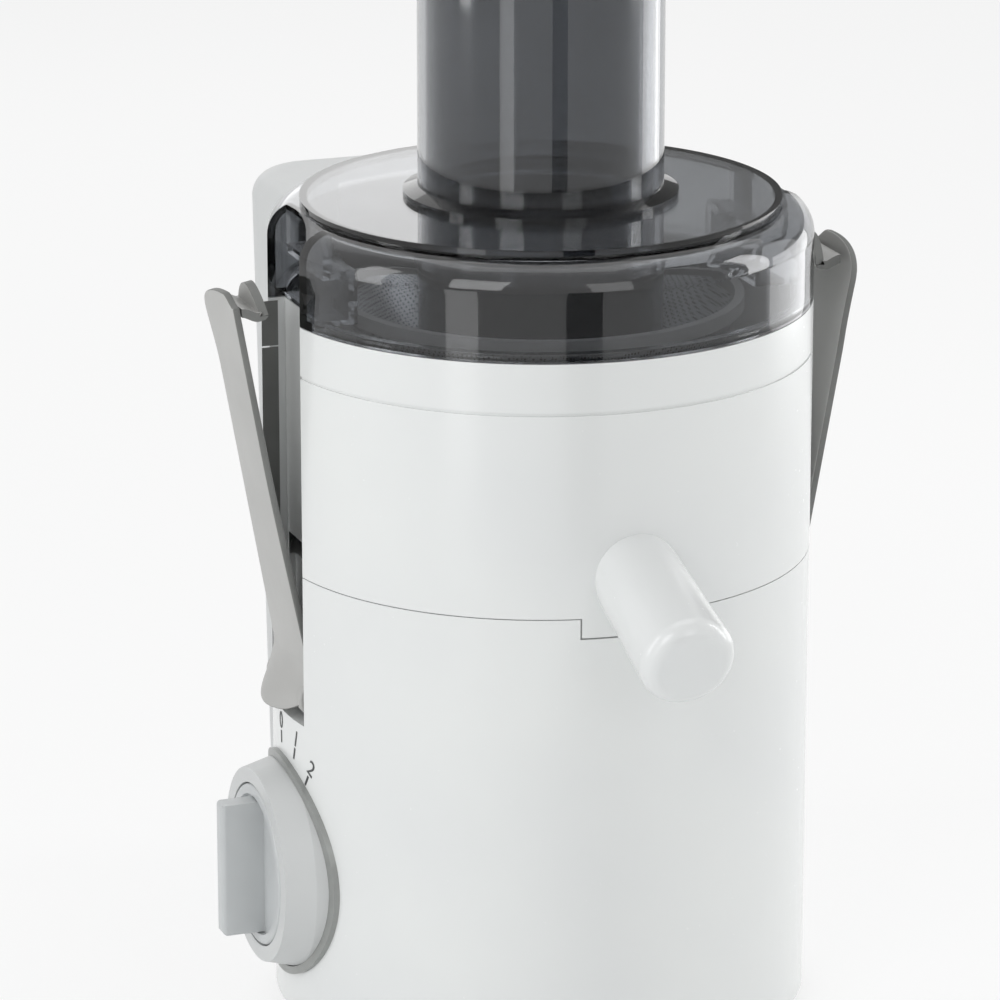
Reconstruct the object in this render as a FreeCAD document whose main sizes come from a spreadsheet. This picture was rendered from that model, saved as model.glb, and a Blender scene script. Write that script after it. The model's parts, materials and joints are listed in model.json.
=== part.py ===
import FreeCAD, Part
import math
import os
import Sketcher

# Centrifugal juicer, millimetres. +Z is up and z = 0 is the table. The rotor turns about x = y = 0.
# The spout points to -Y, the pulp container stands at +Y and the speed dial is on the -X side.

doc = FreeCAD.newDocument("centrifugal_juicer")
sheet = doc.addObject("Spreadsheet::Sheet", "sizes")
nodes = {}

# Driving sizes: name, number and what it measures.
driving_sizes = [
    ("body_radius", 80, "outside of housing, collector and lid"),
    ("wall", 2.4, "white moulded walls"),
    ("seam_gap", 0.3, "gap between stacked parts"),
    ("fit_gap", 0.6, "radial room round locating rings"),
    ("press_gap", 0.02, "radial room of pressed parts"),
    ("running_gap", 0.04, "radial room of turning shafts and pins"),
    ("foot_height", 4, "table to the housing's lower edge"),
    ("foot_radius", 9, "rubber foot"),
    ("foot_stud_radius", 3, "stud of a foot in the base plate"),
    ("front_foot_inset", 17.7, "front feet inside the round body"),
    ("rear_feet_x", 25, "rear feet from the middle"),
    ("rear_feet_inset", 17, "rear feet ahead of the back face"),
    ("plate_thickness", 2.5, "base plate"),
    ("plate_recess", 0.4, "base plate above the housing's edge"),
    ("seam_height", 142, "table to the seam of housing and collector"),
    ("rim_height", 3.4, "housing rim above its deck"),
    ("shelf_height", 20, "table to the top of the rear shelf"),
    ("shelf_chamfer", 22, "inside corners of the rear shelf"),
    ("side_block_depth", 12, "thick side walls inside the round body"),
    ("side_block_bottom", 26, "lower end of the thick side walls"),
    ("screw_inset", 6, "base plate screws inside the round body"),
    ("screw_boss_radius", 4.5, "screw boss"),
    ("screw_boss_height", 22, "screw boss above the base plate"),
    ("screw_radius", 1.5, "base plate screw"),
    ("screw_head_radius", 3, "base plate screw head"),
    ("screw_head_height", 1.8, "base plate screw head"),
    ("screw_length", 14, "base plate screw in its boss"),
    ("gland_radius", 5.5, "cord gland in the back face"),
    ("gland_bore", 3.4, "bore of the gland"),
    ("gland_flange", 6.8, "flange of the gland"),
    ("gland_gap", 0.6, "gland above the base plate"),
    ("tab_half_width", 16.4, "tab below the spout"),
    ("tab_height", 6, "tab below the seam"),
    ("tab_gap", 0.5, "room round the tab"),
    ("channel_depth", 8, "clamp channels below the round body"),
    ("channel_front", 13.9, "channel edge ahead of the rotor"),
    ("channel_back", 21.1, "channel edge behind the rotor"),
    ("pivot_inset", 6.5, "clamp pivots inside the round body"),
    ("pivot_drop", 38, "clamp pivots below the seam"),
    ("pocket_depth", 10.4, "clamp pockets below the round body"),
    ("pin_radius", 2, "clamp pin"),
    ("pin_seat", 1.8, "clamp pin in the housing at each end"),
    ("clamp_width", 33, "clamp arm along Y"),
    ("clamp_side_gap", 1, "clamp arm from the channel's front edge"),
    ("clamp_back_gap", 1, "closed clamp from the channel floor"),
    ("clamp_thickness", 3, "clamp arm"),
    ("clamp_lean", 10.2, "degrees the clamps stand open at rest"),
    ("boot_radius", 6.4, "rounded lower end of a clamp"),
    ("boot_offset", 3.6, "boot centre outside the pivot"),
    ("hook_gap", 0.5, "hook above the lid's lip"),
    ("hook_reach", 7.5, "hook past the lip's outer face"),
    ("hook_thickness", 2.5, "clamp hook"),
    ("hook_rise", 9.2, "hook's upturned end above its underside"),
    ("hook_end", 2, "upturned end of the hook"),
    ("ear_rise", 6.5, "rear corner of the clamp's top above the hook's underside"),
    ("groove_rise", 60, "decorative groove above the seam"),
    ("groove_width", 0.9, "decorative groove"),
    ("groove_depth", 0.5, "decorative groove"),
    ("floor_rise", 6.4, "bowl floor above the seam"),
    ("drip_gap", 1.3, "dry tube round the sieve hub"),
    ("centre_tube_rise", 30, "top of the dry tube above the seam"),
    ("spout_radius", 13, "spout where it leaves the body"),
    ("spout_flare", 1.05, "spout's end wider than its root, in radius"),
    ("spout_bore", 10, "juice way in the spout"),
    ("spout_slope", 18.6, "degrees the spout falls"),
    ("spout_root_rise", 10.8, "spout axis above the seam at the body"),
    ("spout_length", 43.3, "spout from the body along its axis"),
    ("spout_end_wall", 3, "closed end of the spout"),
    ("spout_end_round", 5, "round edge of the spout's end"),
    ("outlet_radius", 7, "downward outlet of the spout"),
    ("outlet_back", 17, "middle of the outlet from the spout's end"),
    ("window_side", 2, "pulp window inside the container's mouth"),
    ("window_sill", 62, "lower edge of the pulp window above the seam"),
    ("collector_height", 75.5, "seam to the lid's lower edge"),
    ("lid_skirt", 19, "straight skirt of the lid"),
    ("lid_disc_rise", 30, "lid disc above the lid's edge"),
    ("shoulder_width", 9.5, "lid's disc inside the round body"),
    ("lid_step", 2, "thickness of the lid's disc, above the shoulder"),
    ("lid_wall", 2.2, "lid moulding"),
    ("lid_spigot_depth", 4, "locating ring of the lid in the collector"),
    ("lip_height", 1.2, "catch lip on the lid"),
    ("lid_channel_gap", 0.7, "clamp channels in the shoulder outside the disc"),
    ("catch_depth", 16.2, "catch recesses of the lid below the round body"),
    ("catch_height", 12, "catch recess above the lip"),
    ("tube_radius", 36, "feed tube outside"),
    ("tube_wall", 2.4, "feed tube"),
    ("tube_rise", 70, "feed tube above the disc"),
    ("tube_end_gap", 4.8, "feed tube above the grater's teeth"),
    ("bead_width", 4.3, "collar at the foot of the feed tube, past the tube"),
    ("bead_height", 3.2, "collar at the foot of the feed tube"),
    ("pusher_gap", 0.5, "pusher in the feed tube"),
    ("pusher_wall", 2.2, "pusher cup"),
    ("pusher_end_gap", 5, "pusher above the tube's lower end"),
    ("pusher_cap_height", 12, "pusher head above the tube"),
    ("pusher_head_edge", 1.5, "pusher head past the tube"),
    ("container_half_width", 55.1, "pulp container"),
    ("container_depth", 43, "rear of container and shelf behind the round body"),
    ("container_gap", 1, "container from the round body"),
    ("container_wall", 2.2, "pulp container"),
    ("roof_rise", 16.7, "container's roof above the lid's lower edge"),
    ("container_corner", 20, "upright rear corners"),
    ("container_roof_round", 7.7, "edge of the roof"),
    ("container_draft", 0.9, "degrees of draft"),
    ("mouth_side", 13.1, "mouth of the container inside its sides"),
    ("mouth_drop", 17.5, "lower edge of the mouth below the lid's lower edge"),
    ("mouth_rise", 6.5, "upper edge of the mouth above the lid's lower edge"),
]
for row, (alias, number, meaning) in enumerate(driving_sizes, start=1):
    sheet.set("A%d" % row, meaning)
    sheet.set("B%d" % row, str(number))
    sheet.setAlias("B%d" % row, alias)
motor_sizes = [
    ("dial_back", 3.1, "dial axis behind the rotor"),
    ("dial_height", 48.9, "dial axis above the table"),
    ("trim_radius", 33.9, "grey trim ring round the dial"),
    ("trim_width", 2.3, "grey trim ring"),
    ("trim_proud", 1.6, "trim ring outside the body"),
    ("bezel_rise", 9, "bezel face outside the body"),
    ("bezel_slope", 4.7, "bezel face inside the trim ring's outside"),
    ("dial_inset", 9.7, "turning dial inside the trim ring's outside"),
    ("dial_gap", 0.4, "room round the dial"),
    ("dial_thickness", 8.8, "dial disc"),
    ("dial_rim", 3, "raised rim of the dial"),
    ("dial_scoop", 2, "scooped middle of the dial"),
    ("grip_end_gap", 3.7, "grip bar inside the dial's edge"),
    ("grip_width", 6, "grip bar of the dial"),
    ("grip_rise", 13, "grip bar above the scoop"),
    ("switch_size", 26, "rotary switch, square"),
    ("switch_depth", 15, "rotary switch"),
    ("switch_shaft_radius", 3, "rotary switch shaft"),
    ("switch_shaft_depth", 9, "shaft inside the switch"),
    ("switch_shaft_grip", 3, "shaft inside the dial"),
    ("shaft_radius", 4, "motor shaft"),
    ("shaft_tail", 2, "motor shaft below the lower bearing"),
    ("shaft_rise", 16, "motor shaft above the seam"),
    ("bearing_radius", 8, "bearing outside"),
    ("boss_wall", 4, "bearing boss round the bearing"),
    ("bearing_length", 10, "bearing"),
    ("lower_frame_height", 30, "underside of the lower motor frame"),
    ("frame_drop", 28, "underside of the upper motor frame below the seam"),
    ("frame_thickness", 4, "motor frame plates"),
    ("frame_edge", 1, "lower motor frame past the stator"),
    ("mount_edge", 8, "upper motor frame past the rubber mounts"),
    ("frame_column_radius", 4.5, "columns between frames and stator"),
    ("bolt_inset", 5, "motor through bolts inside the stator's outside"),
    ("bolt_radius", 2, "motor through bolts"),
    ("bolt_gap", 0.3, "room round the bolts"),
    ("bolt_head_radius", 3.6, "motor bolt heads"),
    ("bolt_head_height", 3, "motor bolt heads"),
    ("stator_back", 8.5, "stator core behind its slots"),
    ("air_gap", 1, "stator round the armature"),
    ("winding_gap", 1.5, "armature winding above the commutator"),
    ("fan_gap", 1, "fan above the field coils"),
    ("slot_inner", 14, "stator slots from the middle"),
    ("slot_width", 8.5, "stator slots along X"),
    ("slot_wall", 2, "stator slots outside the bore"),
    ("slot_depth", 9, "stator slots along Y"),
    ("coil_gap", 0.4, "room round the coils"),
    ("coil_overhang", 6, "field coils past the core"),
    ("armature_radius", 21.5, "armature core"),
    ("armature_slots", 12, "slots of the armature"),
    ("armature_slot_width", 4, "slots of the armature"),
    ("armature_slot_root", 11, "slots of the armature"),
    ("winding_inset", 3, "armature winding inside the core's outside"),
    ("winding_overhang", 4.5, "armature winding past the core"),
    ("commutator_radius", 11, "commutator"),
    ("commutator_rise", 7, "commutator above the lower frame"),
    ("commutator_length", 13, "commutator"),
    ("brush_width", 6, "carbon brush along Y"),
    ("brush_height", 8, "carbon brush along Z"),
    ("brush_air", 0.15, "brush from the commutator"),
    ("brush_length", 15, "carbon brush"),
    ("holder_gap", 3, "brush holder from the commutator"),
    ("holder_length", 17, "brush holder"),
    ("holder_wall", 2, "brush holder"),
    ("fan_top_gap", 3.4, "fan below the upper motor frame"),
    ("fan_edge_gap", 8, "cooling fan inside the through bolts"),
    ("fan_hub_radius", 9, "cooling fan"),
    ("fan_thickness", 1.6, "cooling fan disc"),
    ("fan_blade_height", 8, "cooling fan blades"),
    ("fan_blades", 9, "cooling fan blades"),
    ("mount_circle", 44, "rubber mounts of the motor"),
    ("bush_radius", 6, "rubber mounts of the motor"),
    ("bush_length", 8, "rubber mounts of the motor"),
    ("seal_radius", 8, "shaft seal in the deck"),
    ("coupling_drop", 1.5, "drive coupling below the seam"),
    ("coupling_radius", 9.4, "drive coupling, corner of its hexagon"),
    ("coupling_length", 25, "drive coupling"),
    ("coupling_gap", 0.4, "socket round the coupling"),
    ("hub_wall", 1.9, "sieve hub socket"),
    ("hub_plate_radius", 26, "sieve hub plate"),
    ("hub_plate_gap", 2.5, "hub plate above the dry tube"),
    ("hub_plate_thickness", 3, "sieve hub plate"),
    ("hub_skirt_gap", 2, "drip skirt outside the dry tube"),
    ("hub_skirt_depth", 12, "drip skirt of the hub"),
    ("grater_radius", 43, "grater disc"),
    ("grater_thickness", 1, "grater disc"),
    ("grater_tooth", 1.2, "grater teeth"),
    ("sieve_gap", 1.8, "sieve rim inside the catch recesses"),
    ("mesh_thickness", 0.9, "sieve mesh"),
    ("sieve_rise", 36, "sieve mesh above the grater disc"),
    ("sieve_rim_width", 2.8, "rolled rim of the sieve past the mesh"),
    ("sieve_rim_height", 4, "rolled rim of the sieve"),
]
for row, (alias, number, meaning) in enumerate(motor_sizes, start=len(driving_sizes) + 1):
    sheet.set("A%d" % row, meaning)
    sheet.set("B%d" % row, str(number))
    sheet.setAlias("B%d" % row, alias)
doc.recompute()


class Size:
    # A number together with the spreadsheet expression that gives it.
    def __init__(self, number, text):
        self.number = float(number)
        self.text = text

    def __add__(self, other):
        other = as_size(other)
        return Size(self.number + other.number, "(%s + %s)" % (self.text, other.text))

    def __sub__(self, other):
        other = as_size(other)
        return Size(self.number - other.number, "(%s - %s)" % (self.text, other.text))

    def __mul__(self, other):
        other = as_size(other)
        return Size(self.number * other.number, "(%s * %s)" % (self.text, other.text))

    def __truediv__(self, other):
        other = as_size(other)
        return Size(self.number / other.number, "(%s / %s)" % (self.text, other.text))

    def __neg__(self):
        return Size(-self.number, "(0 - %s)" % self.text)

    __rmul__ = __mul__


def as_size(value):
    if isinstance(value, Size):
        return value
    return Size(value, "(%.6f)" % value)


class Sizes:
    pass


size = Sizes()
for alias, number, meaning in driving_sizes + motor_sizes:
    setattr(size, alias, Size(sheet.get(alias), "sizes." + alias))


# Sizes that follow from the driving sizes.
size.channel_floor = size.body_radius - size.channel_depth
size.pocket_floor = size.body_radius - size.pocket_depth
size.side_block_inner = size.body_radius - size.side_block_depth
size.pivot_out = size.body_radius - size.pivot_inset
size.catch_floor = size.body_radius - size.catch_depth
size.lid_disc_radius = size.body_radius - size.shoulder_width
size.lid_channel_floor = size.lid_disc_radius + size.lid_channel_gap
size.screw_circle = size.body_radius - size.screw_inset
size.container_back = size.body_radius + size.container_depth
size.lid_edge_height = size.seam_height + size.collector_height
size.container_top = size.lid_edge_height + size.roof_rise
size.mouth_half_width = size.container_half_width - size.mouth_side
size.window_half_width = size.mouth_half_width - size.window_side
size.mouth_sill = size.lid_edge_height - size.mouth_drop
size.mouth_head = size.lid_edge_height + size.mouth_rise
size.bead_radius = size.tube_radius + size.bead_width
size.pusher_head_radius = size.tube_radius + size.pusher_head_edge
size.bezel_face_radius = size.trim_radius - size.bezel_slope
size.dial_radius = size.trim_radius - size.dial_inset
size.grip_half_length = size.dial_radius - size.grip_end_gap
size.bearing_boss = size.bearing_radius + size.boss_wall
size.shaft_bottom = size.lower_frame_height + size.frame_thickness - size.bearing_length - size.shaft_tail
size.shaft_top = size.seam_height + size.shaft_rise
size.coupling_bottom = size.seam_height - size.coupling_drop
size.upper_frame_height = size.seam_height - size.frame_drop
size.stator_bore = size.armature_radius + size.air_gap
size.slot_near = size.stator_bore + size.slot_wall
size.slot_far = size.slot_near + size.slot_depth
size.slot_outer = size.slot_inner + size.slot_width
size.stator_radius = size.slot_far + size.stator_back
size.bolt_circle = size.stator_radius - size.bolt_inset
size.lower_frame_radius = size.stator_radius + size.frame_edge
size.upper_frame_radius = size.mount_circle + size.mount_edge
size.winding_radius = size.armature_radius - size.winding_inset
size.fan_radius = size.bolt_circle - size.fan_edge_gap
size.commutator_bottom = size.lower_frame_height + size.frame_thickness + size.commutator_rise
commutator_top = size.commutator_bottom + size.commutator_length
size.stator_bottom = commutator_top + size.winding_gap + size.winding_overhang
size.holder_start = size.commutator_radius + size.holder_gap
size.holder_end = size.holder_start + size.holder_length
fan_top = size.upper_frame_height - size.fan_top_gap
size.fan_height = fan_top - size.fan_blade_height - size.fan_thickness
size.stator_length = size.fan_height - size.fan_gap - size.coil_overhang - size.stator_bottom
size.centre_tube_bore = size.coupling_radius + size.coupling_gap + size.hub_wall + size.drip_gap
size.mesh_top_radius = size.catch_floor - size.lid_wall - size.sieve_gap - size.sieve_rim_width
size.sieve_rim_radius = size.mesh_top_radius + size.sieve_rim_width
plate_height = size.foot_height + size.plate_recess + size.plate_thickness
size.gland_height = plate_height + size.gland_radius + size.gland_gap


def bind(item, name, value):
    item.setExpression(name, as_size(value).text)


def settle(item):
    doc.recompute()
    if "Invalid" in item.State or "Error" in item.State:
        raise RuntimeError("%s of %s failed" % (item.Name, item.TypeId))
    return item


# Bodies, sketches and their features.

def new_body(label, kept=True):
    body = doc.addObject("PartDesign::Body", label)
    body.Label = label
    if kept:
        nodes[label] = body
    return body


def sketch_on(body, role, offset):
    sketch = body.newObject("Sketcher::SketchObject", "sketch")
    planes = [item for item in body.Origin.OriginFeatures if item.Role == role]
    sketch.AttachmentSupport = [(planes[0], "")]
    sketch.MapMode = "FlatFace"
    bind(sketch, "AttachmentOffset.Base.z", offset)
    return sketch


def fix_point(sketch, item, end, across, up):
    for kind, axis, value in (("DistanceX", -2, across), ("DistanceY", -1, up)):
        if not isinstance(value, Size) and value == 0:
            sketch.addConstraint(Sketcher.Constraint("PointOnObject", item, end, axis))
            continue
        value = as_size(value)
        index = sketch.addConstraint(Sketcher.Constraint(kind, -1, 1, item, end, value.number))
        bind(sketch, "Constraints[%d]" % index, value)


def draw_outline(sketch, points):
    first = sketch.GeometryCount
    corners = []
    for across, up in points:
        corners.append(FreeCAD.Vector(as_size(across).number, as_size(up).number, 0))
    count = len(corners)
    for index in range(count):
        sketch.addGeometry(Part.LineSegment(corners[index], corners[(index + 1) % count]), False)
    for index in range(count):
        following = first + (index + 1) % count
        sketch.addConstraint(Sketcher.Constraint("Coincident", first + index, 2, following, 1))
    for index, (across, up) in enumerate(points):
        fix_point(sketch, first + index, 1, across, up)


def draw_box(sketch, low_across, high_across, low_up, high_up):
    draw_outline(sketch, [(low_across, low_up), (high_across, low_up),
                          (high_across, high_up), (low_across, high_up)])


def draw_circle(sketch, across, up, radius):
    radius = as_size(radius)
    centre = FreeCAD.Vector(as_size(across).number, as_size(up).number, 0)
    index = sketch.addGeometry(Part.Circle(centre, FreeCAD.Vector(0, 0, 1), radius.number), False)
    fix_point(sketch, index, 3, across, up)
    constraint = sketch.addConstraint(Sketcher.Constraint("Radius", index, radius.number))
    bind(sketch, "Constraints[%d]" % constraint, radius)


def revolve(body, points):
    sketch = sketch_on(body, "XZ_Plane", 0)
    draw_outline(sketch, points)
    feature = body.newObject("PartDesign::Revolution", "revolution")
    feature.Profile = sketch
    feature.ReferenceAxis = (sketch, ["V_Axis"])
    feature.Angle = 360
    return settle(feature)


def groove(body, points):
    sketch = sketch_on(body, "XZ_Plane", 0)
    draw_outline(sketch, points)
    feature = body.newObject("PartDesign::Groove", "groove")
    feature.Profile = sketch
    feature.ReferenceAxis = (sketch, ["V_Axis"])
    feature.Angle = 360
    return settle(feature)


def pad(body, sketch, length):
    feature = body.newObject("PartDesign::Pad", "pad")
    feature.Profile = sketch
    bind(feature, "Length", length)
    return settle(feature)


def pocket(body, sketch, length):
    before = body.Shape.Volume
    feature = body.newObject("PartDesign::Pocket", "pocket")
    feature.Profile = sketch
    bind(feature, "Length", length)
    settle(feature)
    if body.Shape.Volume >= before:
        raise RuntimeError("a pocket of %s cuts nothing" % body.Label)
    return feature


# Upright pads and pockets between two heights.

def pad_disc(body, x, y, radius, bottom, top):
    sketch = sketch_on(body, "XY_Plane", bottom)
    draw_circle(sketch, x, y, radius)
    return pad(body, sketch, top - bottom)


def pad_block(body, left, right, front, back, bottom, top):
    sketch = sketch_on(body, "XY_Plane", bottom)
    draw_box(sketch, left, right, front, back)
    return pad(body, sketch, top - bottom)


def pocket_disc(body, x, y, radius, bottom, top):
    sketch = sketch_on(body, "XY_Plane", top)
    draw_circle(sketch, x, y, radius)
    return pocket(body, sketch, top - bottom)


def pocket_block(body, left, right, front, back, bottom, top):
    sketch = sketch_on(body, "XY_Plane", top)
    draw_box(sketch, left, right, front, back)
    return pocket(body, sketch, top - bottom)


def round_edges(body, radius, chosen):
    base = body.Tip
    names = []
    for index, edge in enumerate(base.Shape.Edges, start=1):
        if chosen(edge):
            names.append("Edge%d" % index)
    feature = body.newObject("PartDesign::Fillet", "fillet")
    feature.Base = (base, names)
    bind(feature, "Radius", radius)
    return settle(feature)


def repeat_round(body, features, sketch, count):
    pattern = body.newObject("PartDesign::PolarPattern", "pattern")
    pattern.Originals = features
    pattern.Axis = (sketch, ["N_Axis"])
    pattern.Angle = 360
    bind(pattern, "Occurrences", count)
    body.Tip = pattern
    return settle(pattern)


# Primitives and booleans.

def place(item, x, y, z):
    for name, value in (("x", x), ("y", y), ("z", z)):
        bind(item, "Placement.Base." + name, value)


def block(left, right, front, back, bottom, top):
    item = doc.addObject("Part::Box", "block")
    bind(item, "Length", as_size(right) - left)
    bind(item, "Width", as_size(back) - front)
    bind(item, "Height", as_size(top) - bottom)
    place(item, left, front, bottom)
    return settle(item)


turn_to = {
    "z": FreeCAD.Rotation(FreeCAD.Vector(0, 0, 1), 0),
    "x": FreeCAD.Rotation(FreeCAD.Vector(0, 1, 0), 90),
    "-x": FreeCAD.Rotation(FreeCAD.Vector(0, 1, 0), -90),
    "y": FreeCAD.Rotation(FreeCAD.Vector(1, 0, 0), -90),
}


def rod(radius, start, length, direction="z"):
    item = doc.addObject("Part::Cylinder", "rod")
    bind(item, "Radius", radius)
    bind(item, "Height", length)
    item.Placement = FreeCAD.Placement(FreeCAD.Vector(0, 0, 0), turn_to[direction])
    place(item, *start)
    return settle(item)


def cone(radius, end_radius, start, length, direction="z"):
    item = doc.addObject("Part::Cone", "cone")
    bind(item, "Radius1", radius)
    bind(item, "Radius2", end_radius)
    bind(item, "Height", length)
    item.Placement = FreeCAD.Placement(FreeCAD.Vector(0, 0, 0), turn_to[direction])
    place(item, *start)
    return settle(item)


def join_all(items):
    item = doc.addObject("Part::MultiFuse", "joined")
    item.Shapes = items
    item.Refine = True
    return settle(item)


def cut(base, tool):
    before = base.Shape.Volume
    item = doc.addObject("Part::Cut", "cut")
    item.Base = base
    item.Tool = tool
    item.Refine = True
    settle(item)
    if item.Shape.Volume >= before:
        raise RuntimeError("a cut of %s takes nothing away" % base.Label)
    return item


def overlap(first, second):
    item = doc.addObject("Part::Common", "overlap")
    item.Base = first
    item.Tool = second
    return settle(item)


def soften(item, radius, chosen):
    rounded = doc.addObject("Part::Fillet", "rounded")
    rounded.Base = item
    edges = []
    for index, edge in enumerate(item.Shape.Edges, start=1):
        if chosen(edge):
            edges.append((index, radius.number, radius.number))
    rounded.Edges = edges
    return settle(rounded)


def group(label, items):
    item = doc.addObject("Part::Compound", label)
    item.Links = items
    return keep(label, settle(item))


def keep(label, item):
    item.Label = label
    nodes[label] = item
    return item


def is_level(edge, height):
    box = edge.BoundBox
    return abs(box.ZMin - height.number) < 0.01 and abs(box.ZMax - height.number) < 0.01


def is_upright(edge, height):
    box = edge.BoundBox
    return box.ZLength > height and box.XLength < 4 and box.YLength < 4


# Heights and places that several pieces share.
deck_top = size.seam_height - size.rim_height
deck_bottom = deck_top - size.wall
plate_bottom = size.foot_height + size.plate_recess
plate_top = plate_bottom + size.plate_thickness
inner_radius = size.body_radius - size.wall
pivot_height = size.seam_height - size.pivot_drop
clamp_front = size.clamp_side_gap - size.channel_front
clamp_back = clamp_front + size.clamp_width
collector_bottom = size.seam_height + size.seam_gap
collector_top = size.lid_edge_height - size.seam_gap
bowl_floor = size.seam_height + size.floor_rise
bowl_underside = bowl_floor - size.wall
dry_tube_top = size.seam_height + size.centre_tube_rise
dry_tube_radius = size.centre_tube_bore + size.wall
disc_height = size.lid_edge_height + size.lid_disc_rise
tube_top = disc_height + size.tube_rise
grater_seat = dry_tube_top + size.hub_plate_gap + size.hub_plate_thickness
teeth_top = grater_seat + size.grater_thickness + size.grater_tooth
tube_bottom = teeth_top + size.tube_end_gap
tube_bore = size.tube_radius - size.tube_wall
catch_bottom = size.lid_edge_height + size.lip_height
catch_top = catch_bottom + size.catch_height
tab_bottom = size.seam_height - size.tab_height
notch_radius = inner_radius + size.wall / 3
margin = size.wall
both_sides = (-1, 1)


def side_block(side, inner, outer, front, back, bottom, top):
    # A block on the +X side, or its mirror image on the -X side.
    if side > 0:
        return block(inner, outer, front, back, bottom, top)
    return block(-outer, -inner, front, back, bottom, top)


def around(radius, angles):
    places = []
    for angle in angles:
        turn = math.radians(angle)
        places.append((radius * math.cos(turn), radius * math.sin(turn)))
    return places


screw_places = around(size.screw_circle, (-60, -120, 140, 40))
mount_places = around(size.mount_circle, (45, 135, 225, 315))
bolt_places = [(size.bolt_circle * side, as_size(0)) for side in both_sides]
foot_places = []
for angle, side in ((-132.4, -1), (-47.6, 1)):
    foot_places.extend(around(size.body_radius - size.front_foot_inset, (angle,)))
    foot_places.append((size.rear_feet_x * side, size.container_back - size.rear_feet_inset))


def shelf_outline(inset):
    side = size.container_half_width - inset
    back = size.container_back - inset
    corner_x = side - size.shelf_chamfer
    corner_y = back - size.shelf_chamfer
    front = size.body_radius / 2
    return [(-side, front), (side, front), (side, corner_y), (corner_x, back),
            (-corner_x, back), (-side, corner_y)]


# Motor housing: a round shell with a deck, a rear shelf and thick side walls that hold the clamps.
def make_motor_housing():
    shell = new_body("housing_outside", False)
    pad_disc(shell, 0, 0, size.body_radius, size.foot_height, size.seam_height)
    pad_block(shell, -size.container_half_width, size.container_half_width, size.body_radius / 2,
              size.container_back, size.foot_height, size.shelf_height)
    back = size.container_back.number - 1
    tall = (size.shelf_height - size.foot_height).number / 2
    round_edges(shell, size.container_corner,
                lambda edge: is_upright(edge, tall) and edge.BoundBox.YMin > back)
    pocket_disc(shell, 0, 0, inner_radius, deck_top, size.seam_height)
    hollow = rod(inner_radius, (0, 0, size.foot_height - margin), deck_bottom - size.foot_height + margin)
    front = -size.channel_front - size.wall * 2
    rear = size.channel_back + size.wall * 2
    for side in both_sides:
        hollow = cut(hollow, side_block(side, size.side_block_inner, size.body_radius, front, rear,
                                        size.side_block_bottom, size.seam_height))
    shelf = new_body("shelf_hollow", False)
    sketch = sketch_on(shelf, "XY_Plane", size.foot_height - margin)
    draw_outline(sketch, shelf_outline(size.wall))
    pad(shelf, sketch, size.shelf_height - size.wall - size.foot_height + margin)
    housing = cut(cut(shell, hollow), shelf)
    bosses = []
    for x, y in screw_places:
        bosses.append(rod(size.screw_boss_radius, (x, y, plate_top), size.screw_boss_height))
    for x, y in mount_places:
        start = size.upper_frame_height + size.frame_thickness + size.bush_length
        bosses.append(rod(size.bush_radius, (x, y, start), deck_bottom - start + size.wall / 2))
    housing = join_all([housing] + bosses)
    tools = [rod(size.seal_radius, (0, 0, deck_bottom - margin), size.wall + margin * 2)]
    for x, y in screw_places:
        tools.append(rod(size.screw_radius + size.press_gap, (x, y, plate_top - margin),
                         size.screw_length + margin))
    for x, y in mount_places:
        start = size.upper_frame_height + size.frame_thickness
        tools.append(rod(size.bolt_radius + size.press_gap, (x, y, start), deck_bottom - start))
    pocket_bottom = pivot_height - size.boot_radius - size.wall / 2
    for side in both_sides:
        tools.append(side_block(side, size.pocket_floor, size.body_radius + margin, -size.channel_front,
                                size.channel_back, pocket_bottom, size.seam_height + margin))
        tools.append(rod(size.pin_radius + size.press_gap,
                         (size.pivot_out * side, -size.channel_front - size.pin_seat, pivot_height),
                         size.channel_front + size.channel_back + size.pin_seat * 2, "y"))
    tools.append(rod(size.switch_shaft_radius + size.dial_gap, (-size.body_radius - margin, size.dial_back,
                                                               size.dial_height),
                     size.body_radius - size.side_block_inner + margin * 2, "x"))
    tools.append(rod(size.gland_radius, (0, size.container_back - size.wall - margin, size.gland_height),
                     size.wall + margin * 2, "y"))
    notch = block(-size.tab_half_width - size.tab_gap, size.tab_half_width + size.tab_gap,
                  -size.body_radius - margin, 0, tab_bottom, size.seam_height + margin)
    tools.append(cut(notch, rod(notch_radius, (0, 0, tab_bottom - margin), size.tab_height + margin * 3)))
    return keep("motor_housing", cut(housing, join_all(tools)))


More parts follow.
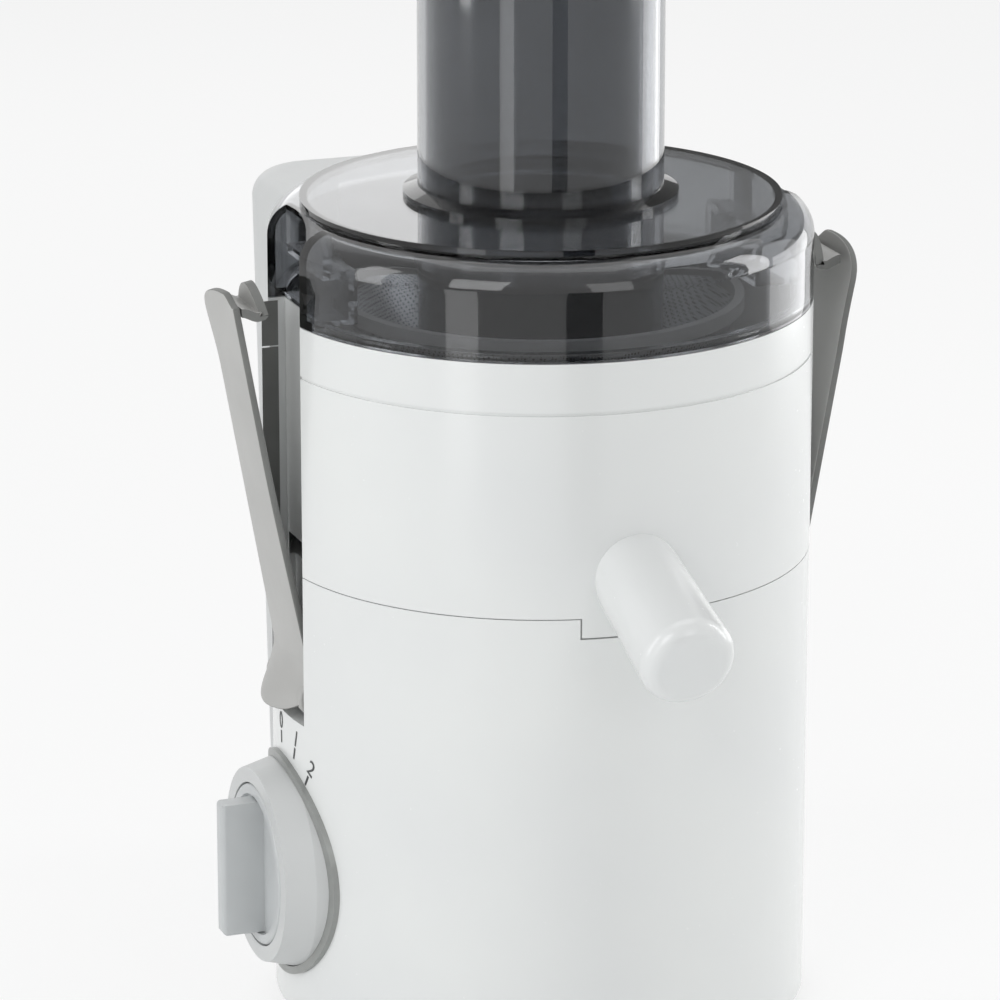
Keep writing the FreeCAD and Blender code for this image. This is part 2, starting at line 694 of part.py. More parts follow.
# Base plate with its screws and rubber feet.
def make_base_plate():
    plate = new_body("plate_outside", False)
    pad_disc(plate, 0, 0, inner_radius - size.seam_gap, plate_bottom, plate_top)
    sketch = sketch_on(plate, "XY_Plane", plate_bottom)
    draw_outline(sketch, shelf_outline(size.wall + size.seam_gap))
    pad(plate, sketch, size.plate_thickness)
    tools = []
    for x, y in screw_places:
        tools.append(rod(size.screw_radius + size.bolt_gap, (x, y, plate_bottom - margin),
                         size.plate_thickness + margin * 2))
    for x, y in foot_places:
        tools.append(rod(size.foot_stud_radius, (x, y, plate_bottom - margin),
                         size.plate_thickness + margin * 2))
    keep("base_plate", cut(plate, join_all(tools)))
    screws = []
    for x, y in screw_places:
        head = rod(size.screw_head_radius, (x, y, plate_bottom - size.screw_head_height),
                   size.screw_head_height)
        slot = block(x - size.screw_head_radius, x + size.screw_head_radius, y - size.running_gap * 10,
                     y + size.running_gap * 10, plate_bottom - size.screw_head_height,
                     plate_bottom - size.screw_head_height / 2)
        shank = rod(size.screw_radius, (x, y, plate_bottom - size.screw_head_height / 4),
                    size.plate_thickness + size.screw_length)
        screws.append(join_all([cut(head, slot), shank]))
    group("base_plate_screws", screws)
    feet = []
    for x, y in foot_places:
        pad_round = cone(size.foot_radius - size.wall / 2, size.foot_radius, (x, y, 0), plate_bottom)
        stud = rod(size.foot_stud_radius - size.press_gap, (x, y, plate_bottom / 2),
                   plate_bottom / 2 + size.plate_thickness + size.wall)
        feet.append(join_all([pad_round, stud]))
    group("rubber_feet", feet)


def make_cord_gland():
    face = size.container_back
    barrel = rod(size.gland_radius - size.press_gap, (0, face - size.wall * 2, size.gland_height),
                 size.wall * 3, "y")
    flange = cone(size.gland_flange, size.gland_flange - size.wall / 2, (0, face, size.gland_height),
                  size.wall, "y")
    bore = rod(size.gland_bore, (0, face - size.wall * 3, size.gland_height), size.wall * 6, "y")
    keep("cord_gland", cut(join_all([barrel, flange]), bore))


# Juice collector: bowl, dry tube, side channels and tab in one moulding.
def make_juice_collector():
    outside = new_body("collector_outside", False)
    ring = inner_radius - size.fit_gap
    revolve(outside, [(size.centre_tube_bore, bowl_underside), (size.centre_tube_bore, collector_top),
                      (size.body_radius, collector_top), (size.body_radius, collector_bottom),
                      (ring, collector_bottom), (ring, deck_top), (ring - size.wall, deck_top),
                      (ring - size.wall, bowl_underside)])
    level = size.seam_height + size.groove_rise
    groove(outside, [(size.body_radius - size.groove_depth, level), (size.body_radius + margin, level),
                     (size.body_radius + margin, level + size.groove_width),
                     (size.body_radius - size.groove_depth, level + size.groove_width)])
    hollow = rod(inner_radius, (0, 0, bowl_floor), collector_top - bowl_floor + margin)
    front = -size.channel_front - size.wall
    rear = size.channel_back + size.wall
    for side in both_sides:
        hollow = cut(hollow, side_block(side, size.channel_floor - size.wall, size.body_radius, front, rear,
                                        deck_top, collector_top + margin * 2))
    hollow = cut(hollow, rod(dry_tube_radius, (0, 0, bowl_underside), dry_tube_top - bowl_underside))
    tab = block(-size.tab_half_width, size.tab_half_width, -size.body_radius, -size.body_radius / 2,
                tab_bottom + size.tab_gap, bowl_underside)
    tab = overlap(tab, rod(size.body_radius, (0, 0, tab_bottom), size.tab_height + size.floor_rise))
    tab = cut(tab, rod(notch_radius + size.tab_gap, (0, 0, tab_bottom - margin),
                       size.tab_height + size.floor_rise + margin * 2))
    bowl = join_all([cut(outside, hollow), tab])
    tools = [make_spout_rod(size.spout_bore, 0, inner_radius - size.spout_bore, size.wall)]
    for side in both_sides:
        tools.append(side_block(side, size.channel_floor, size.body_radius + margin, -size.channel_front,
                                size.channel_back, deck_top - margin, collector_top + margin))
    tools.append(block(-size.window_half_width, size.window_half_width, size.body_radius / 2,
                       size.body_radius + margin, size.seam_height + size.window_sill,
                       collector_top + margin))
    return keep("juice_collector", cut(bowl, join_all(tools)))


# Spout: a sloping tube with a closed end and an outlet below, seated on the collector's wall.
def make_spout():
    slope = math.radians(size.spout_slope.number)
    tube = make_spout_rod(size.spout_radius, size.spout_flare, inner_radius - size.spout_radius,
                          size.spout_length)
    tube = soften(tube, size.spout_end_round, is_spout_end)
    bore_start = inner_radius - size.spout_bore
    way = make_spout_rod(size.spout_bore, 0, bore_start, size.spout_length - size.spout_end_wall)
    back = (size.spout_length - size.outlet_back) * math.cos(slope)
    fall = (size.spout_length - size.outlet_back) * math.sin(slope)
    axis_height = size.seam_height + size.spout_root_rise - fall
    outlet = rod(size.outlet_radius, (0, -size.body_radius - back, axis_height - size.spout_radius * 2),
                 size.spout_radius * 2)
    seat = rod(size.body_radius + size.press_gap, (0, 0, size.foot_height), size.lid_edge_height)
    keep("spout", cut(tube, join_all([way, outlet, seat])))


def make_spout_rod(radius, flare, start, length):
    # A rod along the falling spout axis, from a distance ahead of the rotor to its end past the body.
    slope = math.radians(size.spout_slope.number)
    if isinstance(flare, Size):
        item = doc.addObject("Part::Cone", "spout_cone")
        bind(item, "Radius1", radius - flare / 2)
        bind(item, "Radius2", radius + flare)
    else:
        item = doc.addObject("Part::Cylinder", "spout_rod")
        bind(item, "Radius", radius)
    bind(item, "Height", (size.body_radius - start) / math.cos(slope) + length)
    turn = FreeCAD.Rotation(FreeCAD.Vector(1, 0, 0), 90 + size.spout_slope.number)
    item.Placement = FreeCAD.Placement(FreeCAD.Vector(0, 0, 0), turn)
    rise = (size.body_radius - start) * math.tan(slope)
    place(item, 0, -start, size.seam_height + size.spout_root_rise + rise)
    return settle(item)


def is_spout_end(edge):
    return edge.BoundBox.YMax < -size.body_radius.number - size.spout_radius.number / 2


# Lid: a round shoulder with clamp channels, catch recesses and the pulp window, open at the top.
def make_lid():
    outside = new_body("lid_outside", False)
    ring = inner_radius - size.fit_gap
    ring_bottom = size.lid_edge_height - size.lid_spigot_depth
    step = disc_height - size.lid_step
    revolve(outside, [(0, ring_bottom), (ring, ring_bottom), (ring, size.lid_edge_height),
                      (size.body_radius, size.lid_edge_height), (size.body_radius, step), (0, step)])
    shoulder = step - size.lid_edge_height - size.lid_skirt
    outer = size.body_radius.number - 0.5
    round_edges(outside, shoulder, lambda edge: is_level(edge, step) and edge.BoundBox.XMax > outer)
    inside = new_body("lid_inside", False)
    ceiling = step - size.lid_wall
    skin = size.body_radius - size.lid_wall
    ledge = size.lid_edge_height + size.lid_wall
    disc_skin = size.lid_disc_radius - size.lid_wall
    revolve(inside, [(0, ring_bottom - margin), (ring - size.lid_wall, ring_bottom - margin),
                     (ring - size.lid_wall, ledge), (skin, ledge), (skin, ceiling), (disc_skin, ceiling),
                     (disc_skin, disc_height), (0, disc_height)])
    inner = skin.number - 0.5
    round_edges(inside, shoulder - size.lid_wall,
                lambda edge: is_level(edge, ceiling) and edge.BoundBox.XMax > inner)
    front = -size.channel_front - size.lid_wall
    rear = size.channel_back + size.lid_wall
    hollow = inside
    for side in both_sides:
        hollow = cut(hollow, side_block(side, size.catch_floor - size.lid_wall, size.body_radius, front, rear,
                                        size.lid_edge_height, catch_top + size.lid_wall))
        hollow = cut(hollow, side_block(side, size.lid_channel_floor - size.lid_wall, size.body_radius,
                                        front, rear, catch_top, disc_height))
    lid = cut(outside, hollow)
    tools = []
    room = size.wall + size.fit_gap * 2
    for side in both_sides:
        tools.append(side_block(side, size.channel_floor, size.body_radius + margin, -size.channel_front,
                                size.channel_back, ring_bottom - margin, disc_height))
        tools.append(side_block(side, size.lid_channel_floor, size.body_radius + margin, -size.channel_front,
                                size.channel_back, catch_bottom, disc_height))
        tools.append(side_block(side, size.catch_floor, size.body_radius + margin, -size.channel_front,
                                size.channel_back, catch_bottom, catch_top))
        tools.append(side_block(side, size.channel_floor - room, size.body_radius, -size.channel_front - room,
                                size.channel_back + room, ring_bottom - margin, size.lid_edge_height))
    tools.append(block(-size.window_half_width, size.window_half_width, size.body_radius / 2,
                       size.body_radius + margin, ring_bottom - margin,
                       size.lid_edge_height + size.lid_skirt))
    return keep("lid", cut(lid, join_all(tools)))


# Disc that closes the lid, with a hole for the feed tube.
def make_lid_disc():
    disc = new_body("lid_disc")
    pad_disc(disc, 0, 0, size.lid_disc_radius, disc_height - size.lid_step, disc_height)
    pocket_disc(disc, 0, 0, size.tube_radius + size.press_gap, disc_height - size.lid_step, disc_height)


# Feed tube: passes through the lid's disc, with a collar round it that rests on the disc.
def make_feed_tube():
    tube = new_body("feed_tube")
    pad_disc(tube, 0, 0, size.tube_radius, tube_bottom, tube_top)
    pocket_disc(tube, 0, 0, tube_bore, tube_bottom, tube_top)
    collar = new_body("tube_collar")
    inner = size.tube_radius + size.press_gap
    collar_top = disc_height + size.bead_height
    revolve(collar, [(inner, disc_height), (size.bead_radius, disc_height),
                     (size.bead_radius, collar_top - size.bead_height / 2), (inner, collar_top)])


# Pusher: a cup that slides in the feed tube, with a head that rests on the tube.
def make_pusher():
    pusher = new_body("pusher")
    radius = tube_bore - size.pusher_gap
    bottom = tube_bottom + size.pusher_end_gap
    seat = tube_top + size.seam_gap
    top = seat + size.pusher_cap_height
    revolve(pusher, [(0, bottom), (radius, bottom), (radius, seat), (size.pusher_head_radius, seat),
                     (size.pusher_head_radius, top), (radius - size.pusher_wall, top),
                     (radius - size.pusher_wall, bottom + size.pusher_wall), (0, bottom + size.pusher_wall)])
    edge_radius = size.pusher_head_radius.number - 0.5
    round_edges(pusher, size.pusher_wall,
                lambda edge: is_level(edge, top) and edge.BoundBox.XMax > edge_radius)


# Pulp container: rounded at the back, hollowed at the front to hug the round body.
def hugging_block(label, inset):
    body = new_body(label, False)
    bottom = size.shelf_height + size.seam_gap + inset
    top = size.container_top - inset
    draft = Size(math.tan(math.radians(size.container_draft.number)), "tan(sizes.container_draft)")
    shrink = (top - bottom) * draft
    side = size.container_half_width - inset - shrink
    sketch = sketch_on(body, "XY_Plane", bottom)
    draw_box(sketch, -side, side, size.body_radius / 2, size.container_back - inset - shrink)
    feature = pad(body, sketch, top - bottom)
    bind(feature, "TaperAngle", size.container_draft)
    settle(feature)
    back = size.body_radius.number
    round_edges(body, size.container_corner - inset,
                lambda edge: edge.BoundBox.ZLength > 50 and edge.BoundBox.YMin > back)
    round_edges(body, size.container_roof_round - inset,
                lambda edge: is_level(edge, top) and edge.BoundBox.YMax > back)
    pocket_disc(body, 0, 0, size.body_radius + size.container_gap + inset, bottom, top)
    return body


def make_pulp_container():
    outside = hugging_block("container_outside", as_size(0))
    inside = hugging_block("container_inside", size.container_wall)
    mouth = block(-size.mouth_half_width, size.mouth_half_width, size.body_radius / 2,
                  size.body_radius + size.container_gap + size.container_wall * 3,
                  size.mouth_sill, size.mouth_head)
    keep("pulp_container", cut(cut(outside, inside), mouth))


# Side clamps, drawn upright about their pivots and leant outward at rest.
def make_clamp(label, side):
    clamp = new_body(label)
    inner = size.channel_floor + size.clamp_back_gap - size.pivot_out
    tip = size.channel_floor - size.hook_reach - size.pivot_out
    hook_bottom = catch_bottom + size.hook_gap - pivot_height
    hook_top = hook_bottom + size.hook_thickness
    end_top = hook_bottom + size.hook_rise
    ear_top = hook_bottom + size.ear_rise
    third = size.clamp_width / 3
    arm = [(clamp_front, 0), (clamp_back, 0), (clamp_back, hook_top), (clamp_back - third / 4, ear_top),
           (clamp_back - third, ear_top), (clamp_front + third, hook_top), (clamp_front, hook_top)]
    clamp_slab(clamp, side, inner, size.clamp_thickness, arm)
    web = [(clamp_front, hook_bottom), (clamp_back, hook_bottom), (clamp_back, hook_top), (clamp_front, hook_top)]
    clamp_slab(clamp, side, tip, inner - tip + size.clamp_thickness / 2, web)
    upturn = [(clamp_front, hook_bottom), (clamp_back, hook_bottom), (clamp_back, hook_top),
              (clamp_back - third, end_top), (clamp_front + third, end_top), (clamp_front, hook_top)]
    clamp_slab(clamp, side, tip, size.hook_end, upturn)
    sketch = sketch_on(clamp, "XZ_Plane", -clamp_back)
    draw_circle(sketch, size.boot_offset * side, 0, size.boot_radius)
    pad(clamp, sketch, size.clamp_width)
    sketch = sketch_on(clamp, "XZ_Plane", -clamp_front)
    draw_circle(sketch, 0, 0, size.pin_radius + size.running_gap)
    pocket(clamp, sketch, size.clamp_width)
    clamp.Placement = FreeCAD.Placement(FreeCAD.Vector(0, 0, 0),
                                        FreeCAD.Rotation(FreeCAD.Vector(0, side, 0), 1))
    bind(clamp, "Placement.Rotation.Angle", size.clamp_lean)
    place(clamp, size.pivot_out * side, 0, pivot_height)


def clamp_slab(clamp, side, inner, thickness, points):
    # A slab of the clamp from a distance outside its pivot, mirrored on the -X side.
    start = inner if side > 0 else -(inner + thickness)
    sketch = sketch_on(clamp, "YZ_Plane", start)
    draw_outline(sketch, points)
    pad(clamp, sketch, thickness)


def make_clamp_pin(label, side):
    start = -size.channel_front - size.pin_seat
    length = size.channel_front + size.channel_back + size.pin_seat * 2
    keep(label, rod(size.pin_radius, (size.pivot_out * side, start, pivot_height), length, "y"))


# Dial on the -X side: fixed trim ring and bezel, the turning dial, its shaft and switch.
def dial_rod(radius, outer, inner):
    return rod(radius, (-outer, size.dial_back, size.dial_height), as_size(outer) - inner, "x")


def make_dial():
    deep = size.body_radius / 2
    far = size.body_radius * 1.5
    base = size.foot_height
    tall = size.seam_height
    skin = rod(size.body_radius + size.press_gap, (0, 0, base), tall)
    ring = cut(dial_rod(size.trim_radius, far, deep), dial_rod(size.trim_radius - size.trim_width, far, deep))
    ring = cut(ring, skin)
    keep("dial_trim_ring", overlap(ring, rod(size.body_radius + size.trim_proud, (0, 0, base), tall)))
    bezel_radius = size.trim_radius - size.trim_width - size.press_gap
    face = size.body_radius + size.bezel_rise
    slope = (bezel_radius - size.bezel_face_radius) / size.bezel_rise
    wide = size.bezel_face_radius + slope * (face - deep)
    flare = cone(wide, size.bezel_face_radius, (-deep, size.dial_back, size.dial_height), face - deep, "-x")
    bezel = overlap(flare, dial_rod(bezel_radius, far, deep))
    bezel = cut(cut(bezel, skin), dial_rod(size.dial_radius + size.dial_gap, far, deep))
    keep("dial_bezel", bezel)
    back = size.body_radius + size.dial_gap
    front = back + size.dial_thickness
    rim = size.dial_radius - size.dial_rim
    disc = dial_rod(size.dial_radius, front, back)
    disc = soften(disc, size.dial_rim / 3, lambda edge: edge.BoundBox.XMax < -front.number + 0.01)
    disc = cut(disc, dial_rod(rim, front + margin, front - size.dial_scoop))
    half = size.grip_width / 2
    grip = block(-(front - size.dial_scoop + size.grip_rise), -(front - size.dial_scoop * 1.5),
                 size.dial_back - half, size.dial_back + half, size.dial_height - size.grip_half_length,
                 size.dial_height + size.grip_half_length)
    grip = soften(grip, size.grip_width / 4, lambda edge: edge.BoundBox.XMax < -front.number)
    knob = join_all([disc, grip])
    keep("speed_dial", cut(knob, dial_rod(size.switch_shaft_radius + size.press_gap,
                                          back + size.switch_shaft_grip, back - margin)))
    switch_inner = size.side_block_inner - size.switch_depth
    keep("switch_shaft", dial_rod(size.switch_shaft_radius, back + size.switch_shaft_grip,
                                  size.side_block_inner - size.switch_shaft_depth))
    half = size.switch_size / 2
    case = block(-size.side_block_inner, -switch_inner, size.dial_back - half, size.dial_back + half,
                 size.dial_height - half, size.dial_height + half)
    keep("rotary_switch", cut(case, dial_rod(size.switch_shaft_radius + size.running_gap,
                                             size.side_block_inner + margin,
                                             size.side_block_inner - size.switch_shaft_depth)))


# Motor frames, stator and brushes.
def make_motor_frames():
    lower_bottom = size.lower_frame_height
    lower_top = lower_bottom + size.frame_thickness
    upper_bottom = size.upper_frame_height
    upper_top = upper_bottom + size.frame_thickness
    stator_top = size.stator_bottom + size.stator_length
    lower = [rod(size.lower_frame_radius, (0, 0, lower_bottom), size.frame_thickness),
             rod(size.bearing_boss, (0, 0, lower_top - size.bearing_length), size.bearing_length)]
    upper = [rod(size.upper_frame_radius, (0, 0, upper_bottom), size.frame_thickness),
             rod(size.bearing_boss, (0, 0, upper_bottom), size.bearing_length)]
    lower_holes = [rod(size.bearing_radius, (0, 0, lower_top - size.bearing_length - margin),
                       size.bearing_length + margin * 2)]
    upper_holes = [rod(size.bearing_radius, (0, 0, upper_bottom - margin), size.bearing_length + margin * 2)]
    bolts = []
    for x, y in bolt_places:
        lower.append(rod(size.frame_column_radius, (x, y, lower_bottom), size.stator_bottom - lower_bottom))
        upper.append(rod(size.frame_column_radius, (x, y, stator_top), upper_top - stator_top))
        hole = size.bolt_radius + size.bolt_gap
        lower_holes.append(rod(hole, (x, y, lower_bottom - margin), size.stator_bottom))
        upper_holes.append(rod(hole, (x, y, stator_top - margin), upper_top))
        head = rod(size.bolt_head_radius, (x, y, upper_top), size.bolt_head_height)
        bolts.append(join_all([head, rod(size.bolt_radius, (x, y, lower_bottom), upper_top - lower_bottom)]))
    bushes = []
    screws = []
    for x, y in mount_places:
        hole = size.bolt_radius + size.bolt_gap
        upper_holes.append(rod(hole, (x, y, upper_bottom - margin), size.frame_thickness + margin * 2))
        bush = rod(size.bush_radius, (x, y, upper_top), size.bush_length)
        bushes.append(cut(bush, rod(hole, (x, y, upper_top - margin), size.bush_length + margin * 2)))
        head = rod(size.bolt_head_radius, (x, y, upper_bottom - size.bolt_head_height), size.bolt_head_height)
        shank = rod(size.bolt_radius, (x, y, upper_bottom - margin), deck_bottom - upper_bottom)
        screws.append(join_all([head, shank]))
    keep("lower_motor_frame", cut(join_all(lower), join_all(lower_holes)))
    keep("upper_motor_frame", cut(join_all(upper), join_all(upper_holes)))
    group("motor_through_bolts", bolts)
    group("isolation_bushes", bushes)
    group("motor_mount_screws", screws)
    make_bearing("lower_bearing", lower_top - size.bearing_length)
    make_bearing("upper_bearing", upper_bottom)
    seal = new_body("shaft_seal")
    inner = size.shaft_radius + size.running_gap
    outer = size.seal_radius - size.press_gap
    revolve(seal, [(inner, deck_bottom), (outer, deck_bottom), (outer, deck_top), (inner, deck_top)])


def make_bearing(label, bottom):
    bearing = new_body(label)
    inner = size.shaft_radius + size.running_gap
    outer = size.bearing_radius - size.press_gap
    top = bottom + size.bearing_length
    revolve(bearing, [(inner, bottom), (outer, bottom), (outer, top), (inner, top)])


def make_stator():
    bottom = size.stator_bottom
    top = bottom + size.stator_length
    core = rod(size.stator_radius, (0, 0, bottom), size.stator_length)
    tools = [rod(size.stator_bore, (0, 0, bottom - margin), size.stator_length + margin * 2)]
    for x, y in bolt_places:
        tools.append(rod(size.bolt_radius + size.bolt_gap, (x, y, bottom - margin),
                         size.stator_length + margin * 2))
    coils = []
    for end in both_sides:
        near = size.slot_near
        far = size.slot_far
        for side in both_sides:
            tools.append(mirrored_block(side, end, size.slot_inner, size.slot_outer, near, far,
                                        bottom - margin, top + margin))
        near = near + size.coil_gap
        far = far - size.coil_gap
        outer = size.slot_outer - size.coil_gap
        inner = size.slot_inner + size.coil_gap
        loop = mirrored_block(1, end, -outer, outer, near, far, bottom - size.coil_overhang,
                              top + size.coil_overhang)
        hole = mirrored_block(1, end, -inner, inner, near - margin, far + margin, bottom - size.coil_gap,
                              top + size.coil_gap)
        loop = cut(loop, hole)
        coils.append(soften(loop, size.coil_overhang / 2,
                            lambda edge: edge.BoundBox.YLength > 2 and edge.BoundBox.XLength < 0.01
                            and abs(edge.BoundBox.XMin) > outer.number - 0.01))
    keep("stator_core", cut(core, join_all(tools)))
    group("field_coils", coils)


def mirrored_block(side, end, inner, outer, near, far, bottom, top):
    if end > 0:
        return side_block(side, inner, outer, near, far, bottom, top)
    return side_block(side, inner, outer, -far, -near, bottom, top)


def make_brushes():
    middle = size.commutator_bottom + size.commutator_length / 2
    seat = size.lower_frame_height + size.frame_thickness
    half_width = size.brush_width / 2
    half_height = size.brush_height / 2
    holders = []
    brushes = []
    for side in both_sides:
        case = side_block(side, size.holder_start, size.holder_end, -half_width - size.holder_wall,
                          half_width + size.holder_wall, seat, middle + half_height + size.holder_wall)
        way = side_block(side, size.holder_start - margin, size.holder_end + margin,
                         -half_width - size.running_gap, half_width + size.running_gap,
                         middle - half_height - size.running_gap, middle + half_height + size.running_gap)
        holders.append(cut(case, way))
        start = size.commutator_radius + size.brush_air
        brushes.append(side_block(side, start, start + size.brush_length, -half_width, half_width,
                                  middle - half_height, middle + half_height))
    group("brush_holders", holders)
    group("carbon_brushes", brushes)


# Rotor: shaft, armature, commutator, fan and drive coupling.
def make_rotor():
    shaft = new_body("motor_shaft")
    pad_disc(shaft, 0, 0, size.shaft_radius, size.shaft_bottom, size.shaft_top)
    bore = size.shaft_radius + size.press_gap
    bottom = size.stator_bottom
    top = bottom + size.stator_length
    core = new_body("armature_core")
    revolve(core, [(bore, bottom), (size.armature_radius, bottom), (size.armature_radius, top), (bore, top)])
    sketch = sketch_on(core, "XY_Plane", top)
    half = size.armature_slot_width / 2
    draw_box(sketch, size.armature_slot_root, size.armature_radius + margin, -half, half)
    slot = pocket(core, sketch, size.stator_length)
    repeat_round(core, [slot], sketch, size.armature_slots)
    winding = new_body("armature_winding")
    root = size.armature_slot_root + size.press_gap
    for start, end in ((bottom - size.winding_overhang, bottom - size.press_gap),
                       (top + size.press_gap, top + size.winding_overhang)):
        revolve(winding, [(bore + size.hub_wall, start), (size.winding_radius, start),
                          (size.winding_radius, end), (bore + size.hub_wall, end)])
        if start.number < bottom.number:
            half = size.armature_slot_width / 2 - size.press_gap
            sketch = sketch_on(winding, "XY_Plane", bottom - size.winding_overhang / 2)
            draw_box(sketch, root, size.winding_radius, -half, half)
            bar = pad(winding, sketch, size.stator_length + size.winding_overhang)
            repeat_round(winding, [bar], sketch, size.armature_slots)
    commutator = new_body("commutator")
    start = size.commutator_bottom
    end = start + size.commutator_length
    revolve(commutator, [(bore, start), (size.commutator_radius, start), (size.commutator_radius, end),
                         (bore, end)])
    fan = new_body("cooling_fan")
    start = size.fan_height
    end = start + size.fan_thickness
    revolve(fan, [(bore, start), (size.fan_radius, start), (size.fan_radius, end),
                  (size.fan_hub_radius, end), (size.fan_hub_radius, end + size.fan_blade_height),
                  (bore, end + size.fan_blade_height)])
    sketch = sketch_on(fan, "XY_Plane", start + size.fan_thickness / 2)
    half = size.fan_thickness / 2
    draw_box(sketch, size.fan_hub_radius - size.fan_thickness, size.fan_radius - size.fan_thickness,
             -half, half)
    blade = pad(fan, sketch, size.fan_blade_height)
    repeat_round(fan, [blade], sketch, size.fan_blades)
    coupling = new_body("drive_coupling")
    sketch = sketch_on(coupling, "XY_Plane", size.coupling_bottom)
    draw_outline(sketch, hexagon(size.coupling_radius))
    pad(coupling, sketch, size.coupling_length)
    pocket_disc(coupling, 0, 0, bore, size.coupling_bottom, size.shaft_top + size.press_gap)


def hexagon(radius):
    return around(radius, range(0, 360, 60))


# Sieve: hub with a hexagonal socket, grater disc, conical mesh and rim.
def make_sieve():
    plate_bottom = dry_tube_top + size.hub_plate_gap
    plate_top = plate_bottom + size.hub_plate_thickness
    socket_bottom = bowl_underside
    hub = new_body("sieve_hub")
    skirt = dry_tube_radius + size.hub_skirt_gap
    socket = size.coupling_radius + size.coupling_gap + size.hub_wall
    revolve(hub, [(0, socket_bottom), (socket, socket_bottom), (socket, plate_bottom), (skirt, plate_bottom),
                  (skirt, plate_bottom - size.hub_skirt_depth),
                  (skirt + size.hub_wall, plate_bottom - size.hub_skirt_depth),
                  (skirt + size.hub_wall, plate_bottom), (size.hub_plate_radius, plate_bottom),
                  (size.hub_plate_radius, plate_top), (0, plate_top)])
    sketch = sketch_on(hub, "XY_Plane", size.coupling_bottom + size.coupling_length + size.coupling_gap)
    draw_outline(sketch, hexagon(size.coupling_radius + size.coupling_gap))
    pocket(hub, sketch, size.coupling_bottom + size.coupling_length + size.coupling_gap - socket_bottom)
    grater_top = plate_top + size.grater_thickness
    grater = new_body("grater_disc")
    pad_disc(grater, 0, 0, size.grater_radius, plate_top, grater_top)
    for ring in (1, 2, 3):
        radius = size.grater_radius * (ring * 0.28)
        sketch = sketch_on(grater, "XY_Plane", plate_top + size.grater_thickness / 2)
        draw_box(sketch, radius, radius + size.grater_tooth * 2, -size.grater_tooth / 2,
                 size.grater_tooth / 2)
        tooth = pad(grater, sketch, size.grater_thickness / 2 + size.grater_tooth)
        repeat_round(grater, [tooth], sketch, as_size(6 * ring))
    mesh = new_body("sieve_mesh")
    mesh_top = grater_top + size.sieve_rise
    foot = size.grater_radius
    revolve(mesh, [(foot + size.press_gap, plate_top), (foot + size.mesh_thickness, plate_top),
                   (size.mesh_top_radius + size.mesh_thickness, mesh_top), (size.mesh_top_radius, mesh_top),
                   (foot + size.press_gap, grater_top)])
    rim = new_body("sieve_rim")
    revolve(rim, [(size.mesh_top_radius, mesh_top), (size.sieve_rim_radius, mesh_top),
                  (size.sieve_rim_radius, mesh_top + size.sieve_rim_height),
                  (size.mesh_top_radius, mesh_top + size.sieve_rim_height)])


make_motor_housing()
make_base_plate()
make_cord_gland()
make_juice_collector()
make_spout()
make_lid()
make_lid_disc()
make_feed_tube()
make_pusher()
make_pulp_container()
make_clamp("left_clamp", -1)
make_clamp("right_clamp", 1)
make_clamp_pin("left_clamp_pin", -1)
make_clamp_pin("right_clamp_pin", 1)
make_dial()
make_motor_frames()
make_stator()
make_brushes()
make_rotor()
make_sieve()

# Every object is checked before the shapes are written.
doc.recompute()
for item in doc.Objects:
    if "Invalid" in item.State or "Error" in item.State:
        raise RuntimeError("%s did not build" % item.Label)
os.makedirs("parts", exist_ok=True)
for label, item in nodes.items():
    shape = item.Shape
    if shape.isNull() or not shape.isValid():
        raise RuntimeError("the shape of %s is not valid" % label)
    shape.exportStep("parts/%s.step" % label)
    print(label, len(shape.Solids), round(shape.Volume), shape.BoundBox)
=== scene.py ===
import bpy
import json
import math
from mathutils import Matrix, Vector


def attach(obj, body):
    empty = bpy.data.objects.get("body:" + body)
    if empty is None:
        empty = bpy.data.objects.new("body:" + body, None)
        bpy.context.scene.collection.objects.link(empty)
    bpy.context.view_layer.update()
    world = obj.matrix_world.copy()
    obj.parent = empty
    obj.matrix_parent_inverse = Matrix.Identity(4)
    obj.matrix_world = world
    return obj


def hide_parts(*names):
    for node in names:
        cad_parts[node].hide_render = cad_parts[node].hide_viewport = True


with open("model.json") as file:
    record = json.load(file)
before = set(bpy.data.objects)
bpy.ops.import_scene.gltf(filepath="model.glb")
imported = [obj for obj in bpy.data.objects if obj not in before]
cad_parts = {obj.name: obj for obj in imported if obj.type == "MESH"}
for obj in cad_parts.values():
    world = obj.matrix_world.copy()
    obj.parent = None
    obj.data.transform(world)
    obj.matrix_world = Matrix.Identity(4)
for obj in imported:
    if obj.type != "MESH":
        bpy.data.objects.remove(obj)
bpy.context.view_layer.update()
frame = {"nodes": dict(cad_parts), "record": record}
nodes = frame["nodes"]
joints = {joint["name"]: joint for joint in frame["record"]["behaviour"]["joints"]}
bpy.ops.object.select_all(action="DESELECT")
mm = 0.001


# colour and node helpers
def linear(hexColour):
    out = []
    for start in (1, 3, 5):
        value = int(hexColour[start:start + 2], 16) / 255
        out.append(value / 12.92 if value <= 0.04045 else ((value + 0.055) / 1.055) ** 2.4)
    return (out[0], out[1], out[2], 1.0)


def addNode(material, kind, settings, links=()):
    # settings go to the node's own fields or its input sockets, links join sockets as (input, node, output)
    tree = material.node_tree
    node = tree.nodes.new(kind)
    for name, value in settings.items():
        if name in node.inputs:
            node.inputs[name].default_value = value
        else:
            setattr(node, name, value)
    for name, source, output in links:
        tree.links.new(source.outputs[output], node.inputs[name])
    return node


def newFinish(name, settings):
    material = bpy.data.materials.new(name)
    material.use_nodes = True
    shader = material.node_tree.nodes["Principled BSDF"]
    for socket, value in settings.items():
        shader.inputs[socket].default_value = value
    return material, shader


def join(material, source, output, target, socket):
    material.node_tree.links.new(source.outputs[output], target.inputs[socket])


